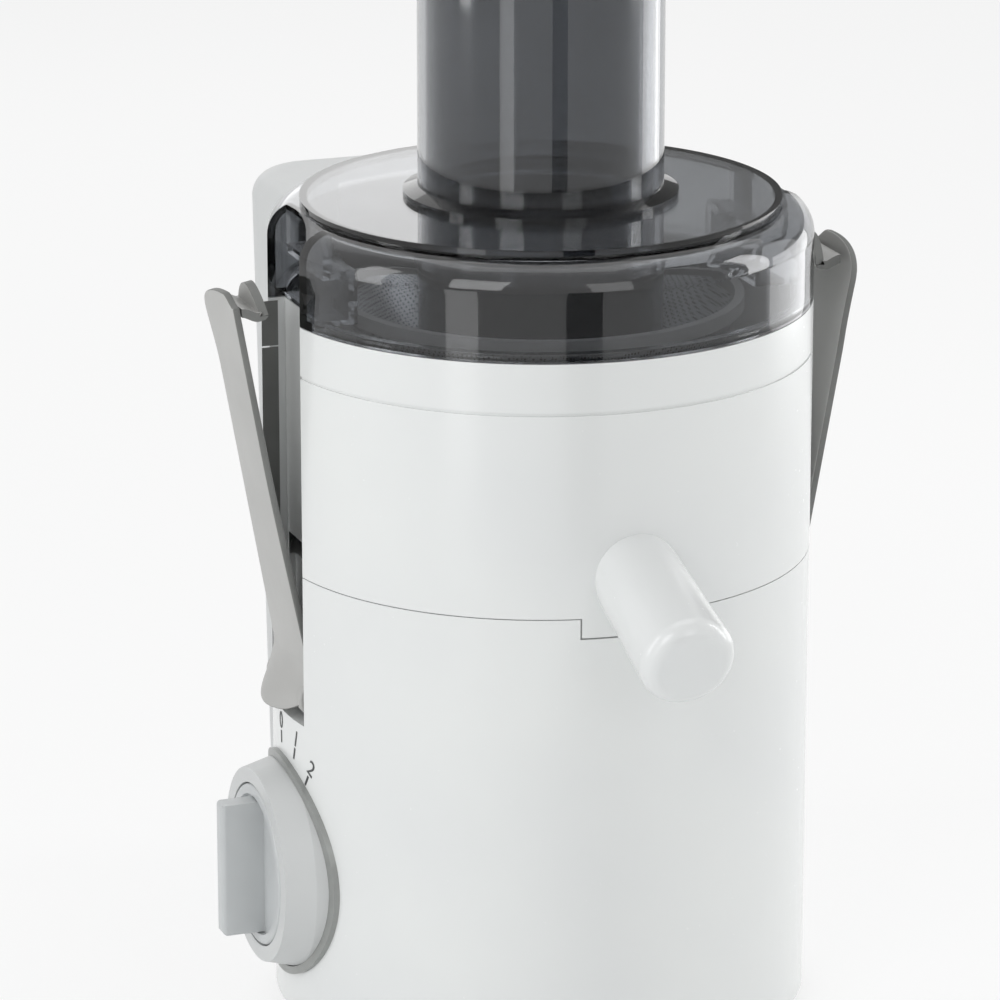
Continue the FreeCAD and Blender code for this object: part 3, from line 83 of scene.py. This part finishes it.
def grainFinish(name, colour, shade, settings, grain, rough, bump, tint):
    # two close tones drift over the tint's size, roughness and bump follow a fine grain
    material, shader = newFinish(name, settings)
    place = addNode(material, "ShaderNodeTexCoord", {})
    drift = addNode(material, "ShaderNodeTexNoise", {"Scale": 1 / tint, "Detail": 2.0},
                    [("Vector", place, "Object")])
    tones = addNode(material, "ShaderNodeValToRGB", {}, [("Fac", drift, "Fac")])
    for stop, position, tone in zip(tones.color_ramp.elements, (0.3, 0.7), (shade, colour)):
        stop.position = position
        stop.color = linear(tone)
    join(material, tones, "Color", shader, "Base Color")
    speckle = addNode(material, "ShaderNodeTexNoise", {"Scale": 1 / grain, "Detail": 4.0},
                      [("Vector", place, "Object")])
    gloss = addNode(material, "ShaderNodeMapRange", {"To Min": rough[0], "To Max": rough[1]},
                    [("Value", speckle, "Fac")])
    join(material, gloss, "Result", shader, "Roughness")
    relief = addNode(material, "ShaderNodeBump", {"Strength": 0.25, "Distance": bump},
                     [("Height", speckle, "Fac")])
    join(material, relief, "Normal", shader, "Normal")
    return material


# glossy white ABS, injection moulded: a soft bright skin with a very slight ripple
whiteAbs = grainFinish("whiteGlossAbs", "#E6E8E7", "#E2E4E4",
                       {"IOR": 1.53, "Coat Weight": 0.25, "Coat Roughness": 0.08},
                       grain=1.6 * mm, rough=(0.20, 0.30), bump=0.03 * mm, tint=60 * mm)

# satin grey ABS, spark-eroded mould: fine even grain that dulls the highlights
greyAbs = grainFinish("satinGreyAbs", "#B5B5B3", "#ADADAB", {"IOR": 1.53},
                      grain=0.9 * mm, rough=(0.40, 0.52), bump=0.05 * mm, tint=25 * mm)

# the clamps' grey ABS, rougher, and darkened as painted shade on the clamps' edges and on the strips in the
# clamp channels
paintedShadeGreyAbs = grainFinish("paintedShadeRoughGreyAbs", "#7C7D7B", "#6E6F6D", {"IOR": 1.53},
                      grain=0.7 * mm, rough=(0.5, 0.62), bump=0.06 * mm, tint=20 * mm)

# silver-grey ABS of the dial: satin, with a slightly cool drift
dialAbs = grainFinish("silverGreyAbs", "#C6C9CA", "#BDC0C1", {"IOR": 1.53},
                      grain=1.0 * mm, rough=(0.32, 0.42), bump=0.03 * mm, tint=20 * mm)

# satin white ABS of the bezel and the pulp container, its colour darker than the body's as painted shade
shadedWhiteAbs = grainFinish("paintedShadeSatinWhiteAbs", "#CFD1D1", "#C7C9C9", {"IOR": 1.53},
                       grain=1.2 * mm, rough=(0.34, 0.46), bump=0.03 * mm, tint=45 * mm)

# painted grey trim: slightly metallic lacquer with a fine sparkle
trimLacquer = grainFinish("greyTrimLacquer", "#9C9E9C", "#8F918F", {"IOR": 1.5, "Metallic": 0.25},
                          grain=0.5 * mm, rough=(0.30, 0.42), bump=0.02 * mm, tint=8 * mm)

# smoke SAN, injection moulded clear: polished and tinted, so walls behind walls look darker
smokeSan = grainFinish("smokeClearSan", "#B4B6B9", "#ADAFB2",
                       {"IOR": 1.5, "Transmission Weight": 1.0},
                       grain=12 * mm, rough=(0.02, 0.05), bump=0.001 * mm, tint=50 * mm)

# nitrile rubber, pressed: dark and matt with a powdery bloom
blackRubber = grainFinish("blackNitrileRubber", "#232424", "#1B1C1C", {"IOR": 1.52},
                          grain=0.7 * mm, rough=(0.65, 0.8), bump=0.08 * mm, tint=12 * mm)

# glass-filled nylon, moulded: dark, dull and finely mottled
darkNylon = grainFinish("darkFilledNylon", "#2C2D2F", "#252628", {"IOR": 1.53},
                        grain=0.6 * mm, rough=(0.45, 0.6), bump=0.05 * mm, tint=15 * mm)

# stainless steel sheet, rolled: bright with a fine haze
steelSheet = grainFinish("rolledStainless", "#C9CBCC", "#BEC0C2", {"Metallic": 1.0},
                         grain=0.5 * mm, rough=(0.22, 0.36), bump=0.02 * mm, tint=10 * mm)

# cast aluminium, tumbled: pale with a coarse skin
castAluminium = grainFinish("tumbledAluminium", "#B4B6B8", "#A6A8AA", {"Metallic": 1.0},
                            grain=1.2 * mm, rough=(0.45, 0.6), bump=0.1 * mm, tint=14 * mm)

# electrical steel laminations, stamped: dark and mottled by oxide
lamination = grainFinish("oxideLaminations", "#4A4B4E", "#3C3D40", {"Metallic": 0.9},
                         grain=0.5 * mm, rough=(0.4, 0.55), bump=0.05 * mm, tint=4 * mm)

# enamelled copper wire, wound: warm lacquered metal
copperWire = grainFinish("enamelledCopper", "#B8693A", "#9E552C", {"Metallic": 1.0},
                         grain=0.6 * mm, rough=(0.25, 0.4), bump=0.15 * mm, tint=3 * mm)

# bronze, sintered: dull, warm and finely pitted
sinteredBronze = grainFinish("sinteredBronze", "#A98B52", "#937744", {"Metallic": 1.0},
                             grain=0.4 * mm, rough=(0.4, 0.55), bump=0.06 * mm, tint=5 * mm)

# carbon, pressed: near black and dusty
pressedCarbon = grainFinish("pressedCarbon", "#1D1D1F", "#141416", {"IOR": 1.6},
                            grain=0.4 * mm, rough=(0.6, 0.75), bump=0.05 * mm, tint=4 * mm)

# ink, pad-printed: dark grey and dull
padInk = grainFinish("padPrintInk", "#4A4C4C", "#414343", {"IOR": 1.48},
                     grain=0.5 * mm, rough=(0.5, 0.65), bump=0.01 * mm, tint=3 * mm)

finishOfSlot = {
    "white_plastic": whiteAbs, "smoke_plastic": smokeSan, "grey_plastic": greyAbs, "trim_grey": trimLacquer,
    "black_rubber": blackRubber, "dark_plastic": darkNylon, "steel": steelSheet, "aluminium": castAluminium,
    "iron": lamination, "copper": copperWire, "bronze": sinteredBronze, "carbon": pressedCarbon,
}


# photo-etched stainless sheet: bright, with one small dark hole in each cell
etching = {
    "cell": 1.0 * mm,
    "unevenness": 0.1,
    "holeReach": 0.34,          # from a cell's middle, as a share of the cell
    "holeColour": "#2A2B2C",
}
# a colour Mix node repeats its sockets' names, so these are counted
mixFirst, mixSecond, mixResult = 6, 7, 2


def etchedFinish():
    material = grainFinish("etchedStainless", "#C4C6C8", "#B8BABC", {"Metallic": 1.0},
                           grain=0.5 * mm, rough=(0.25, 0.4), bump=0.02 * mm, tint=10 * mm)
    shader = material.node_tree.nodes["Principled BSDF"]
    tones = shader.inputs["Base Color"].links[0].from_node
    place = addNode(material, "ShaderNodeTexCoord", {})
    cells = addNode(material, "ShaderNodeTexVoronoi",
                    {"Scale": 1 / etching["cell"], "Randomness": etching["unevenness"]},
                    [("Vector", place, "Object")])
    hole = addNode(material, "ShaderNodeMath", {"operation": "LESS_THAN"}, [(0, cells, "Distance")])
    hole.inputs[1].default_value = etching["holeReach"]
    pierced = addNode(material, "ShaderNodeMix", {"data_type": "RGBA"},
                      [("Factor", hole, "Value"), (mixFirst, tones, "Color")])
    pierced.inputs[mixSecond].default_value = linear(etching["holeColour"])
    join(material, pierced, mixResult, shader, "Base Color")
    return material


# the bezel and the pulp container take the white ABS darkened with painted shade
finishOfNode = {"speed_dial": dialAbs, "dial_bezel": shadedWhiteAbs, "pulp_container": shadedWhiteAbs,
                "sieve_mesh": etchedFinish()}
for part in frame["record"]["subparts"]:
    piece = nodes[part["node"]]
    piece.data.materials.clear()
    piece.data.materials.append(finishOfNode.get(part["node"], finishOfSlot[part["material_slot"]]))
print("finishes on", len(nodes), "nodes")


# modelling helpers
def ease(value, low, high):
    share = min(max((value - low) / (high - low), 0.0), 1.0)
    return share * share * (3 - 2 * share)


def shapedSheet(name, acrossSteps, alongSteps, place):
    # a flat grid whose points are moved to place(across, along), both 0 to 1, in millimetres
    bpy.ops.object.select_all(action="DESELECT")
    bpy.ops.mesh.primitive_grid_add(x_subdivisions=acrossSteps, y_subdivisions=alongSteps, size=1)
    sheet = bpy.context.object
    sheet.name = name
    for point in sheet.data.vertices:
        point.co = Vector(place(point.co.x + 0.5, point.co.y + 0.5)) * mm
    return sheet


def selectOnly(piece):
    bpy.ops.object.select_all(action="DESELECT")
    piece.select_set(True)
    bpy.context.view_layer.objects.active = piece


def applyModifier(piece, kind, settings):
    selectOnly(piece)
    modifier = piece.modifiers.new(kind.lower(), kind)
    for name, value in settings.items():
        setattr(modifier, name, value)
    bpy.ops.object.modifier_apply(modifier=modifier.name)


def joinPieces(name, parts):
    bpy.ops.object.select_all(action="DESELECT")
    for part in parts:
        part.select_set(True)
    bpy.context.view_layer.objects.active = parts[0]
    bpy.ops.object.join()
    parts[0].name = name
    parts[0].data.name = name
    return parts[0]


def settleNormals(piece):
    selectOnly(piece)
    bpy.ops.object.mode_set(mode="EDIT")
    bpy.ops.mesh.select_all(action="SELECT")
    bpy.ops.mesh.remove_doubles(threshold=0.02 * mm)
    bpy.ops.mesh.normals_make_consistent(inside=False)
    bpy.ops.object.mode_set(mode="OBJECT")


def smooth(piece, degrees):
    selectOnly(piece)
    bpy.ops.object.shade_smooth_by_angle(angle=math.radians(degrees))


# side clamps: a tapered arm with a rounded ear, a lip at its foot, a barrel on the pin and a crescent hook;
# u is out from the pivot, y along the pin and h up, in millimetres, and shares run from the front to the back
clampSwing = joints["right_clamp_swing"]
clampSizes = {
    "pivotOut": clampSwing["pos_m"][0],         # metres from the rotor axis
    "pivotHeight": clampSwing["pos_m"][2],      # metres above the table
    "lean": -clampSwing["range_deg"][0],        # degrees open at rest
    "front": -12.9,
    "back": 20.1,
    "taper": 6.4,               # front edge set back at the top
    "taperHeights": (-5, 75),
    "midPlane": 1.3,            # arm's middle outside the pivot
    "thickness": 2.1,
    "armSteps": (29, 81),
    "earLow": 113.6,            # rear corner of the top
    "earRise": 10.6,
    "earTurn": 0.3,             # share where the top starts to fall
    "earFront": 3.5,            # top falls towards the hook
    "earFrontEnd": 0.22,        # share where that fall ends
    "flare": 1.4,               # ear bent outward
    "flareHeights": (96, 124),
    "flareShares": (0.1, 0.9),
    "rightTrim": 1.15,          # right ear bent in that much, to stay inside the CAD box
    "trimHeights": (90, 122),
    "crown": 0.7,               # arm's edges fall back from its middle
    "lipLow": -3.2,
    "lipFrontRise": (3.5, 0.3),     # lower edge rises to its front corner, from this share
    "lipBackRise": (5.5, 0.45),     # and to its rear corner
    "lipReach": (3.0, 7.5),     # lip at its front corner, and more in its middle
    "lipWave": (0.02, 0.9),     # start and length of the lip's bulge, as shares of a half wave
    "lipHeights": (-4, 11),
    "barrel": (0.6, 5.6),       # barrel's axis outside the pivot, and its radius
    "barrelGap": 0.6,           # barrel shorter than the arm is wide
    "hookFront": -6.4,
    "hookBack": 14.5,
    "hookLow": 116.2,
    "hookTip": -7.2,
    "hookEnd": 7.8,
    "hookFullness": 0.8,        # below 1 makes the crescent blunter
    "hookRoot": 2.4,            # root stands above the hook's low line
    "hookReach": (-0.35, 0.7),  # shares from root to tip: reaching in,
    "hookCurl": (0.5, 1.0),     # curling up
    "hookFall": (0, 0.4),       # and falling from the root
    "hookThickness": 2.6,
    "hookSteps": (25, 33),
    "edgeBevel": 0.5,
    "barrelBevel": 0.8,
    "bevelAngle": 50,
    "smoothAngle": 40,
}


def clampArm(across, along):
    sizes = clampSizes
    rearFall = max(across - sizes["earTurn"], 0) / (1 - sizes["earTurn"])
    top = sizes["earLow"] + sizes["earRise"] * math.sqrt(max(1 - rearFall * rearFall, 0))
    top -= sizes["earFront"] * (1 - ease(across, 0, sizes["earFrontEnd"]))
    frontRise, frontShare = sizes["lipFrontRise"]
    backRise, backShare = sizes["lipBackRise"]
    low = sizes["lipLow"] + backRise * (max(across - backShare, 0) / (1 - backShare)) ** 2
    low += frontRise * (max(frontShare - across, 0) / frontShare) ** 2
    h = low + (top - low) * along
    front = sizes["front"] + sizes["taper"] * ease(h, *sizes["taperHeights"])
    y = front + (sizes["back"] - front) * across
    u = sizes["midPlane"] - sizes["crown"] * (2 * across - 1) ** 2
    u += sizes["flare"] * ease(h, *sizes["flareHeights"]) * ease(across, *sizes["flareShares"])
    reach, bulge = sizes["lipReach"]
    waveStart, waveLength = sizes["lipWave"]
    lip = reach + bulge * math.sin(math.pi * (waveStart + waveLength * across))
    u += lip * (1 - ease(h, *sizes["lipHeights"]))
    return u, y, h


def clampHook(across, along):
    sizes = clampSizes
    y = sizes["hookFront"] + (sizes["hookBack"] - sizes["hookFront"]) * across
    rise = sizes["hookEnd"] * max(math.sin(math.pi * across), 0.0) ** sizes["hookFullness"]
    u = sizes["midPlane"] + (sizes["hookTip"] - sizes["midPlane"]) * ease(along, *sizes["hookReach"])
    h = sizes["hookLow"] + rise * ease(along, *sizes["hookCurl"])
    h += sizes["hookRoot"] * (1 - ease(along, *sizes["hookFall"]))
    return u, y, h


def bevelEdges(piece, width):
    applyModifier(piece, "BEVEL", {"width": width * mm, "segments": 3, "limit_method": "ANGLE",
                                   "angle_limit": math.radians(clampSizes["bevelAngle"])})


def clampSheet(name, steps, place, thickness):
    # the sheet's faces are grey, its edges take the darker grey of painted shade
    sheet = shapedSheet(name, *steps, place)
    sheet.data.materials.append(greyAbs)
    sheet.data.materials.append(paintedShadeGreyAbs)
    applyModifier(sheet, "SOLIDIFY", {"thickness": thickness * mm, "offset": 0.0, "use_even_offset": True,
                                      "material_offset_rim": 1})
    settleNormals(sheet)
    bevelEdges(sheet, clampSizes["edgeBevel"])
    return sheet


def clampBarrel(name):
    out, radius = clampSizes["barrel"]
    width = clampSizes["back"] - clampSizes["front"]
    bpy.ops.object.select_all(action="DESELECT")
    bpy.ops.mesh.primitive_cylinder_add(vertices=48, radius=radius * mm,
                                        depth=(width - clampSizes["barrelGap"]) * mm)
    barrel = bpy.context.object
    barrel.name = name
    for point in barrel.data.vertices:
        x, y, z = point.co
        point.co = (x + out * mm, z + (clampSizes["front"] + width / 2) * mm, y)
    barrel.data.materials.append(greyAbs)
    settleNormals(barrel)
    bevelEdges(barrel, clampSizes["barrelBevel"])
    return barrel


def makeClamp(name, side):
    sizes = clampSizes
    arm = clampSheet(name + "Arm", sizes["armSteps"], clampArm, sizes["thickness"])
    hook = clampSheet(name + "Hook", sizes["hookSteps"], clampHook, sizes["hookThickness"])
    clamp = joinPieces(name, [arm, hook, clampBarrel(name + "Barrel")])
    # leant about the pivot and put in place; one mould makes both, so the right one has its ear at the front
    lean = math.radians(sizes["lean"])
    for point in clamp.data.vertices:
        u, y, h = point.co
        if side > 0:
            y = (sizes["front"] + sizes["back"]) * mm - y
            u -= sizes["rightTrim"] * mm * ease(h / mm, *sizes["trimHeights"])
        x = (sizes["pivotOut"] + u * math.cos(lean) + h * math.sin(lean)) * side
        point.co = (x, y, sizes["pivotHeight"] - u * math.sin(lean) + h * math.cos(lean))
    settleNormals(clamp)
    smooth(clamp, sizes["smoothAngle"])
    body = "right_clamp" if side > 0 else "left_clamp"
    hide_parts(body)
    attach(clamp, body)


makeClamp("leftClampShell", -1)
makeClamp("rightClampShell", 1)
print("clamps made")


# dial marks: printed figures and ticks on the housing above the trim ring
dialTurn = joints["speed_dial_turn"]
markSizes = {
    "dialY": dialTurn["pos_m"][1] / mm,
    "dialHeight": dialTurn["pos_m"][2] / mm,
    "bodyRadius": -dialTurn["pos_m"][0] / mm,   # the dial turns on the body's left side
    # figure, degrees round the dial from its top, how much nearer the dial
    "figures": (("0", -2.0, 0.0), ("1", 15.4, 0.3), ("2", 30.4, 2.6)),
    "figureRing": 43.6,
    "figureHeight": 5.2,
    "fontRatio": 1.4,           # a font's size over its figures' height
    "tickInner": 36.9,
    "tickOuter": 40.6,
    "tickWidth": 0.8,
    "inkThickness": 0.06,
}


def layOnBody(piece, ring, degrees):
    # flat shape at the origin, x to its right and y up, laid on the round body beside the dial
    turn = math.radians(degrees)
    radius = markSizes["bodyRadius"] + markSizes["inkThickness"]
    for point in piece.data.vertices:
        right, up, out = (value / mm for value in point.co)
        y = markSizes["dialY"] - (math.sin(turn) * (ring + up) + math.cos(turn) * right)
        z = markSizes["dialHeight"] + math.cos(turn) * (ring + up) - math.sin(turn) * right
        reach = radius + out
        point.co = Vector((-math.sqrt(reach * reach - y * y), y, z)) * mm


def makeFigure(figure, degrees, inset):
    bpy.ops.object.select_all(action="DESELECT")
    bpy.ops.object.text_add()
    text = bpy.context.object
    text.data.body = figure
    text.data.align_x = "CENTER"
    text.data.align_y = "CENTER"
    text.data.size = markSizes["figureHeight"] * markSizes["fontRatio"] * mm
    text.data.extrude = markSizes["inkThickness"] * mm
    bpy.ops.object.convert(target="MESH")
    layOnBody(text, markSizes["figureRing"] - inset, degrees)
    return text


def makeTick(degrees, inset):
    bpy.ops.object.select_all(action="DESELECT")
    bpy.ops.mesh.primitive_cube_add(size=1)
    tick = bpy.context.object
    for point in tick.data.vertices:
        point.co = Vector((point.co.x * markSizes["tickWidth"],
                           point.co.y * (markSizes["tickOuter"] - markSizes["tickInner"]),
                           point.co.z * 2 * markSizes["inkThickness"])) * mm
    layOnBody(tick, (markSizes["tickInner"] + markSizes["tickOuter"]) / 2 - inset, degrees)
    return tick


def makeMarks():
    parts = []
    for figure, degrees, inset in markSizes["figures"]:
        parts.append(makeFigure(figure, degrees, inset))
        parts.append(makeTick(degrees, inset))
    marks = joinPieces("dialMarks", parts)
    settleNormals(marks)
    marks.data.materials.clear()
    marks.data.materials.append(padInk)
    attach(marks, "base")


makeMarks()
print("dial marks made")


# channel shade: dark strips of painted shade on the white rear walls of the collector's clamp channels
channelShadeSizes = {
    "inner": 74.2,              # from the rotor axis
    "outer": 79.2,
    "wall": 21.1,               # rear wall behind the rotor axis
    "thickness": 0.2,
    "low": 143.0,
    "groove": 202.4,            # a thin gap across the strip
    "gap": 0.5,
    "high": 216.4,
}


def makeChannelShade():
    sizes = channelShadeSizes
    parts = []
    for side in (-1, 1):
        for low, high in ((sizes["low"], sizes["groove"]), (sizes["groove"] + sizes["gap"], sizes["high"])):
            bpy.ops.object.select_all(action="DESELECT")
            bpy.ops.mesh.primitive_cube_add(size=1)
            strip = bpy.context.object
            for point in strip.data.vertices:
                reach = sizes["inner"] + (sizes["outer"] - sizes["inner"]) * (point.co.x + 0.5)
                y = sizes["wall"] - sizes["thickness"] * (0.5 - point.co.y)
                point.co = Vector((side * reach, y, low + (high - low) * (point.co.z + 0.5))) * mm
            parts.append(strip)
    shadeStrips = joinPieces("channelPaintedShade", parts)
    settleNormals(shadeStrips)
    shadeStrips.data.materials.clear()
    # painted shade: a dark strip where the channel's white rear wall lies only in shade
    shadeStrips.data.materials.append(paintedShadeGreyAbs)
    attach(shadeStrips, "collector")


makeChannelShade()
print("channel liners made")


# camera fitted to the rings of lid and collector in the photograph
cameraFit = {
    "aimHeight": 217.5 * mm,    # point on the rotor axis that distance and elevation start from
    "distance": 1.6,
    "turn": 20.5,               # degrees the front is turned to the camera's right
    "elevation": 14.61,
    "yaw": -0.44,
    "pitch": 16.80,
    "lens": 196.2,
    "sensor": 36,
    "clipEnd": 20,
}


def buildCamera():
    turn, rise, yaw, pitch = (math.radians(cameraFit[name]) for name in ("turn", "elevation", "yaw", "pitch"))
    away = Vector((math.sin(turn), math.cos(turn), 0))
    right = Vector((math.cos(turn), -math.sin(turn), 0))
    up = Vector((0, 0, 1))
    lens = bpy.data.cameras.new("photoCamera")
    lens.lens = cameraFit["lens"]
    lens.sensor_width = cameraFit["sensor"]
    lens.clip_end = cameraFit["clipEnd"]
    camera = bpy.data.objects.new("photoCamera", lens)
    back = up * math.sin(rise) - away * math.cos(rise)
    camera.location = up * cameraFit["aimHeight"] + back * cameraFit["distance"]
    level = right * math.sin(yaw) + away * math.cos(yaw)
    look = level * math.cos(pitch) - up * math.sin(pitch)
    camera.rotation_euler = look.to_track_quat("-Z", "Y").to_euler()
    bpy.context.scene.collection.objects.link(camera)
    bpy.context.scene.camera = camera


# studio: a pale floor, a white surround, soft boxes and cards, placed as seen from the camera, in metres
studio = {
    "floorRadius": 8.0,
    "floorColour": "#F4F5F5",
    "floorGlow": 0.78,
    "surround": 0.45,
    "boxAim": 0.17,             # height that the soft boxes face
    "flagAim": 0.24,            # height that the cards face
}
# right of the part, towards the camera, above the table, width, height, power
softBoxes = {
    "keyBox": (-0.75, 1.5, 0.95, 0.7, 1.0, 6.5),
    "fillBox": (0.9, 1.6, 0.75, 0.6, 1.0, 2.5),
    "topBox": (0.0, -0.2, 1.75, 1.2, 1.2, 4.5),
    "rightStrip": (1.45, -0.25, 0.45, 0.35, 1.5, 8.0),
    "leftStrip": (-1.35, 0.4, 0.5, 0.35, 1.4, 5.0),
    "backBox": (-0.36, -1.3, 0.62, 0.8, 0.5, 1.0),
    # low boxes that upright walls mirror, because the camera looks down
    "leftCard": (-0.36, 0.6, 0.12, 0.16, 0.24, 0.17),
    "edgeCard": (0.65, -0.45, 0.16, 0.5, 0.3, 0.85),
}
# cards that only reflections see: the same places and sizes, and a colour
flags = {
    "backFlag": (0.6, -1.3, 0.78, 1.3, 0.8, "#8A8A8A"),
    "frontFlag": (0.19, 0.62, 0.1, 0.16, 0.3, "#1A1A1A"),
}


def standAt(right, toward, up):
    turn = math.radians(cameraFit["turn"])
    x = right * math.cos(turn) - toward * math.sin(turn)
    y = -right * math.sin(turn) - toward * math.cos(turn)
    return Vector((x, y, up))


def facing(spot, height, axis):
    # turns the given axis of a thing at spot towards the rotor axis at that height
    return (Vector((0, 0, height)) - spot).to_track_quat(axis, "Y").to_euler()


def hangSoftBox(name, right, toward, up, width, height, power):
    lamp = bpy.data.lights.new(name, "AREA")
    lamp.shape = "RECTANGLE"
    lamp.size = width
    lamp.size_y = height
    lamp.energy = power
    box = bpy.data.objects.new(name, lamp)
    box.location = standAt(right, toward, up)
    box.rotation_euler = facing(box.location, studio["boxAim"], "-Z")
    bpy.context.scene.collection.objects.link(box)


def hangFlag(name, right, toward, up, width, height, colour):
    bpy.ops.object.select_all(action="DESELECT")
    bpy.ops.mesh.primitive_plane_add(size=1)
    flag = bpy.context.object
    flag.name = name
    flag.scale = (width, height, 1)
    flag.location = standAt(right, toward, up)
    flag.rotation_euler = facing(flag.location, studio["flagAim"], "Z")
    felt = newFinish(name + "Felt", {"Base Color": linear(colour), "Roughness": 1.0})[0]
    flag.data.materials.append(felt)
    for seenBy in ("visible_camera", "visible_diffuse", "visible_transmission", "visible_shadow"):
        setattr(flag, seenBy, False)


def seenDirectly(holder):
    # 1 where the camera, clear plastic or a reflection shows the surface, 0 where it only gives light
    rays = addNode(holder, "ShaderNodeLightPath", {})
    clear = addNode(holder, "ShaderNodeMath", {"operation": "MAXIMUM"},
                    [(0, rays, "Is Camera Ray"), (1, rays, "Is Transmission Ray")])
    return addNode(holder, "ShaderNodeMath", {"operation": "MAXIMUM"},
                   [(0, clear, "Value"), (1, rays, "Is Glossy Ray")])


def layFloor():
    bpy.ops.object.select_all(action="DESELECT")
    bpy.ops.mesh.primitive_circle_add(vertices=96, radius=studio["floorRadius"], fill_type="NGON")
    floor = bpy.context.object
    floor.name = "studioFloor"
    paper, shader = newFinish("floorPaper", {"Base Color": linear(studio["floorColour"]), "Roughness": 0.9})
    share = addNode(paper, "ShaderNodeMath", {"operation": "MULTIPLY"}, [(0, seenDirectly(paper), "Value")])
    share.inputs[1].default_value = studio["floorGlow"]
    glow = addNode(paper, "ShaderNodeEmission", {"Color": (1, 1, 1, 1), "Strength": 1.0})
    mixed = addNode(paper, "ShaderNodeMixShader", {},
                    [("Fac", share, "Value"), (1, shader, "BSDF"), (2, glow, "Emission")])
    join(paper, mixed, "Shader", paper.node_tree.nodes["Material Output"], "Surface")
    floor.data.materials.append(paper)


def hangSurround():
    world = bpy.data.worlds.new("studioWorld")
    world.use_nodes = True
    bpy.context.scene.world = world
    level = addNode(world, "ShaderNodeMapRange", {"To Min": studio["surround"], "To Max": 1.0},
                    [("Value", seenDirectly(world), "Value")])
    backdrop = world.node_tree.nodes["Background"]
    backdrop.inputs["Color"].default_value = (1, 1, 1, 1)
    join(world, level, "Result", backdrop, "Strength")


layFloor()
hangSurround()
for boxName, boxPlace in softBoxes.items():
    hangSoftBox(boxName, *boxPlace)
for flagName, flagPlace in flags.items():
    hangFlag(flagName, *flagPlace)
buildCamera()
bpy.context.scene.view_settings.view_transform = "Standard"
print("studio and camera ready")
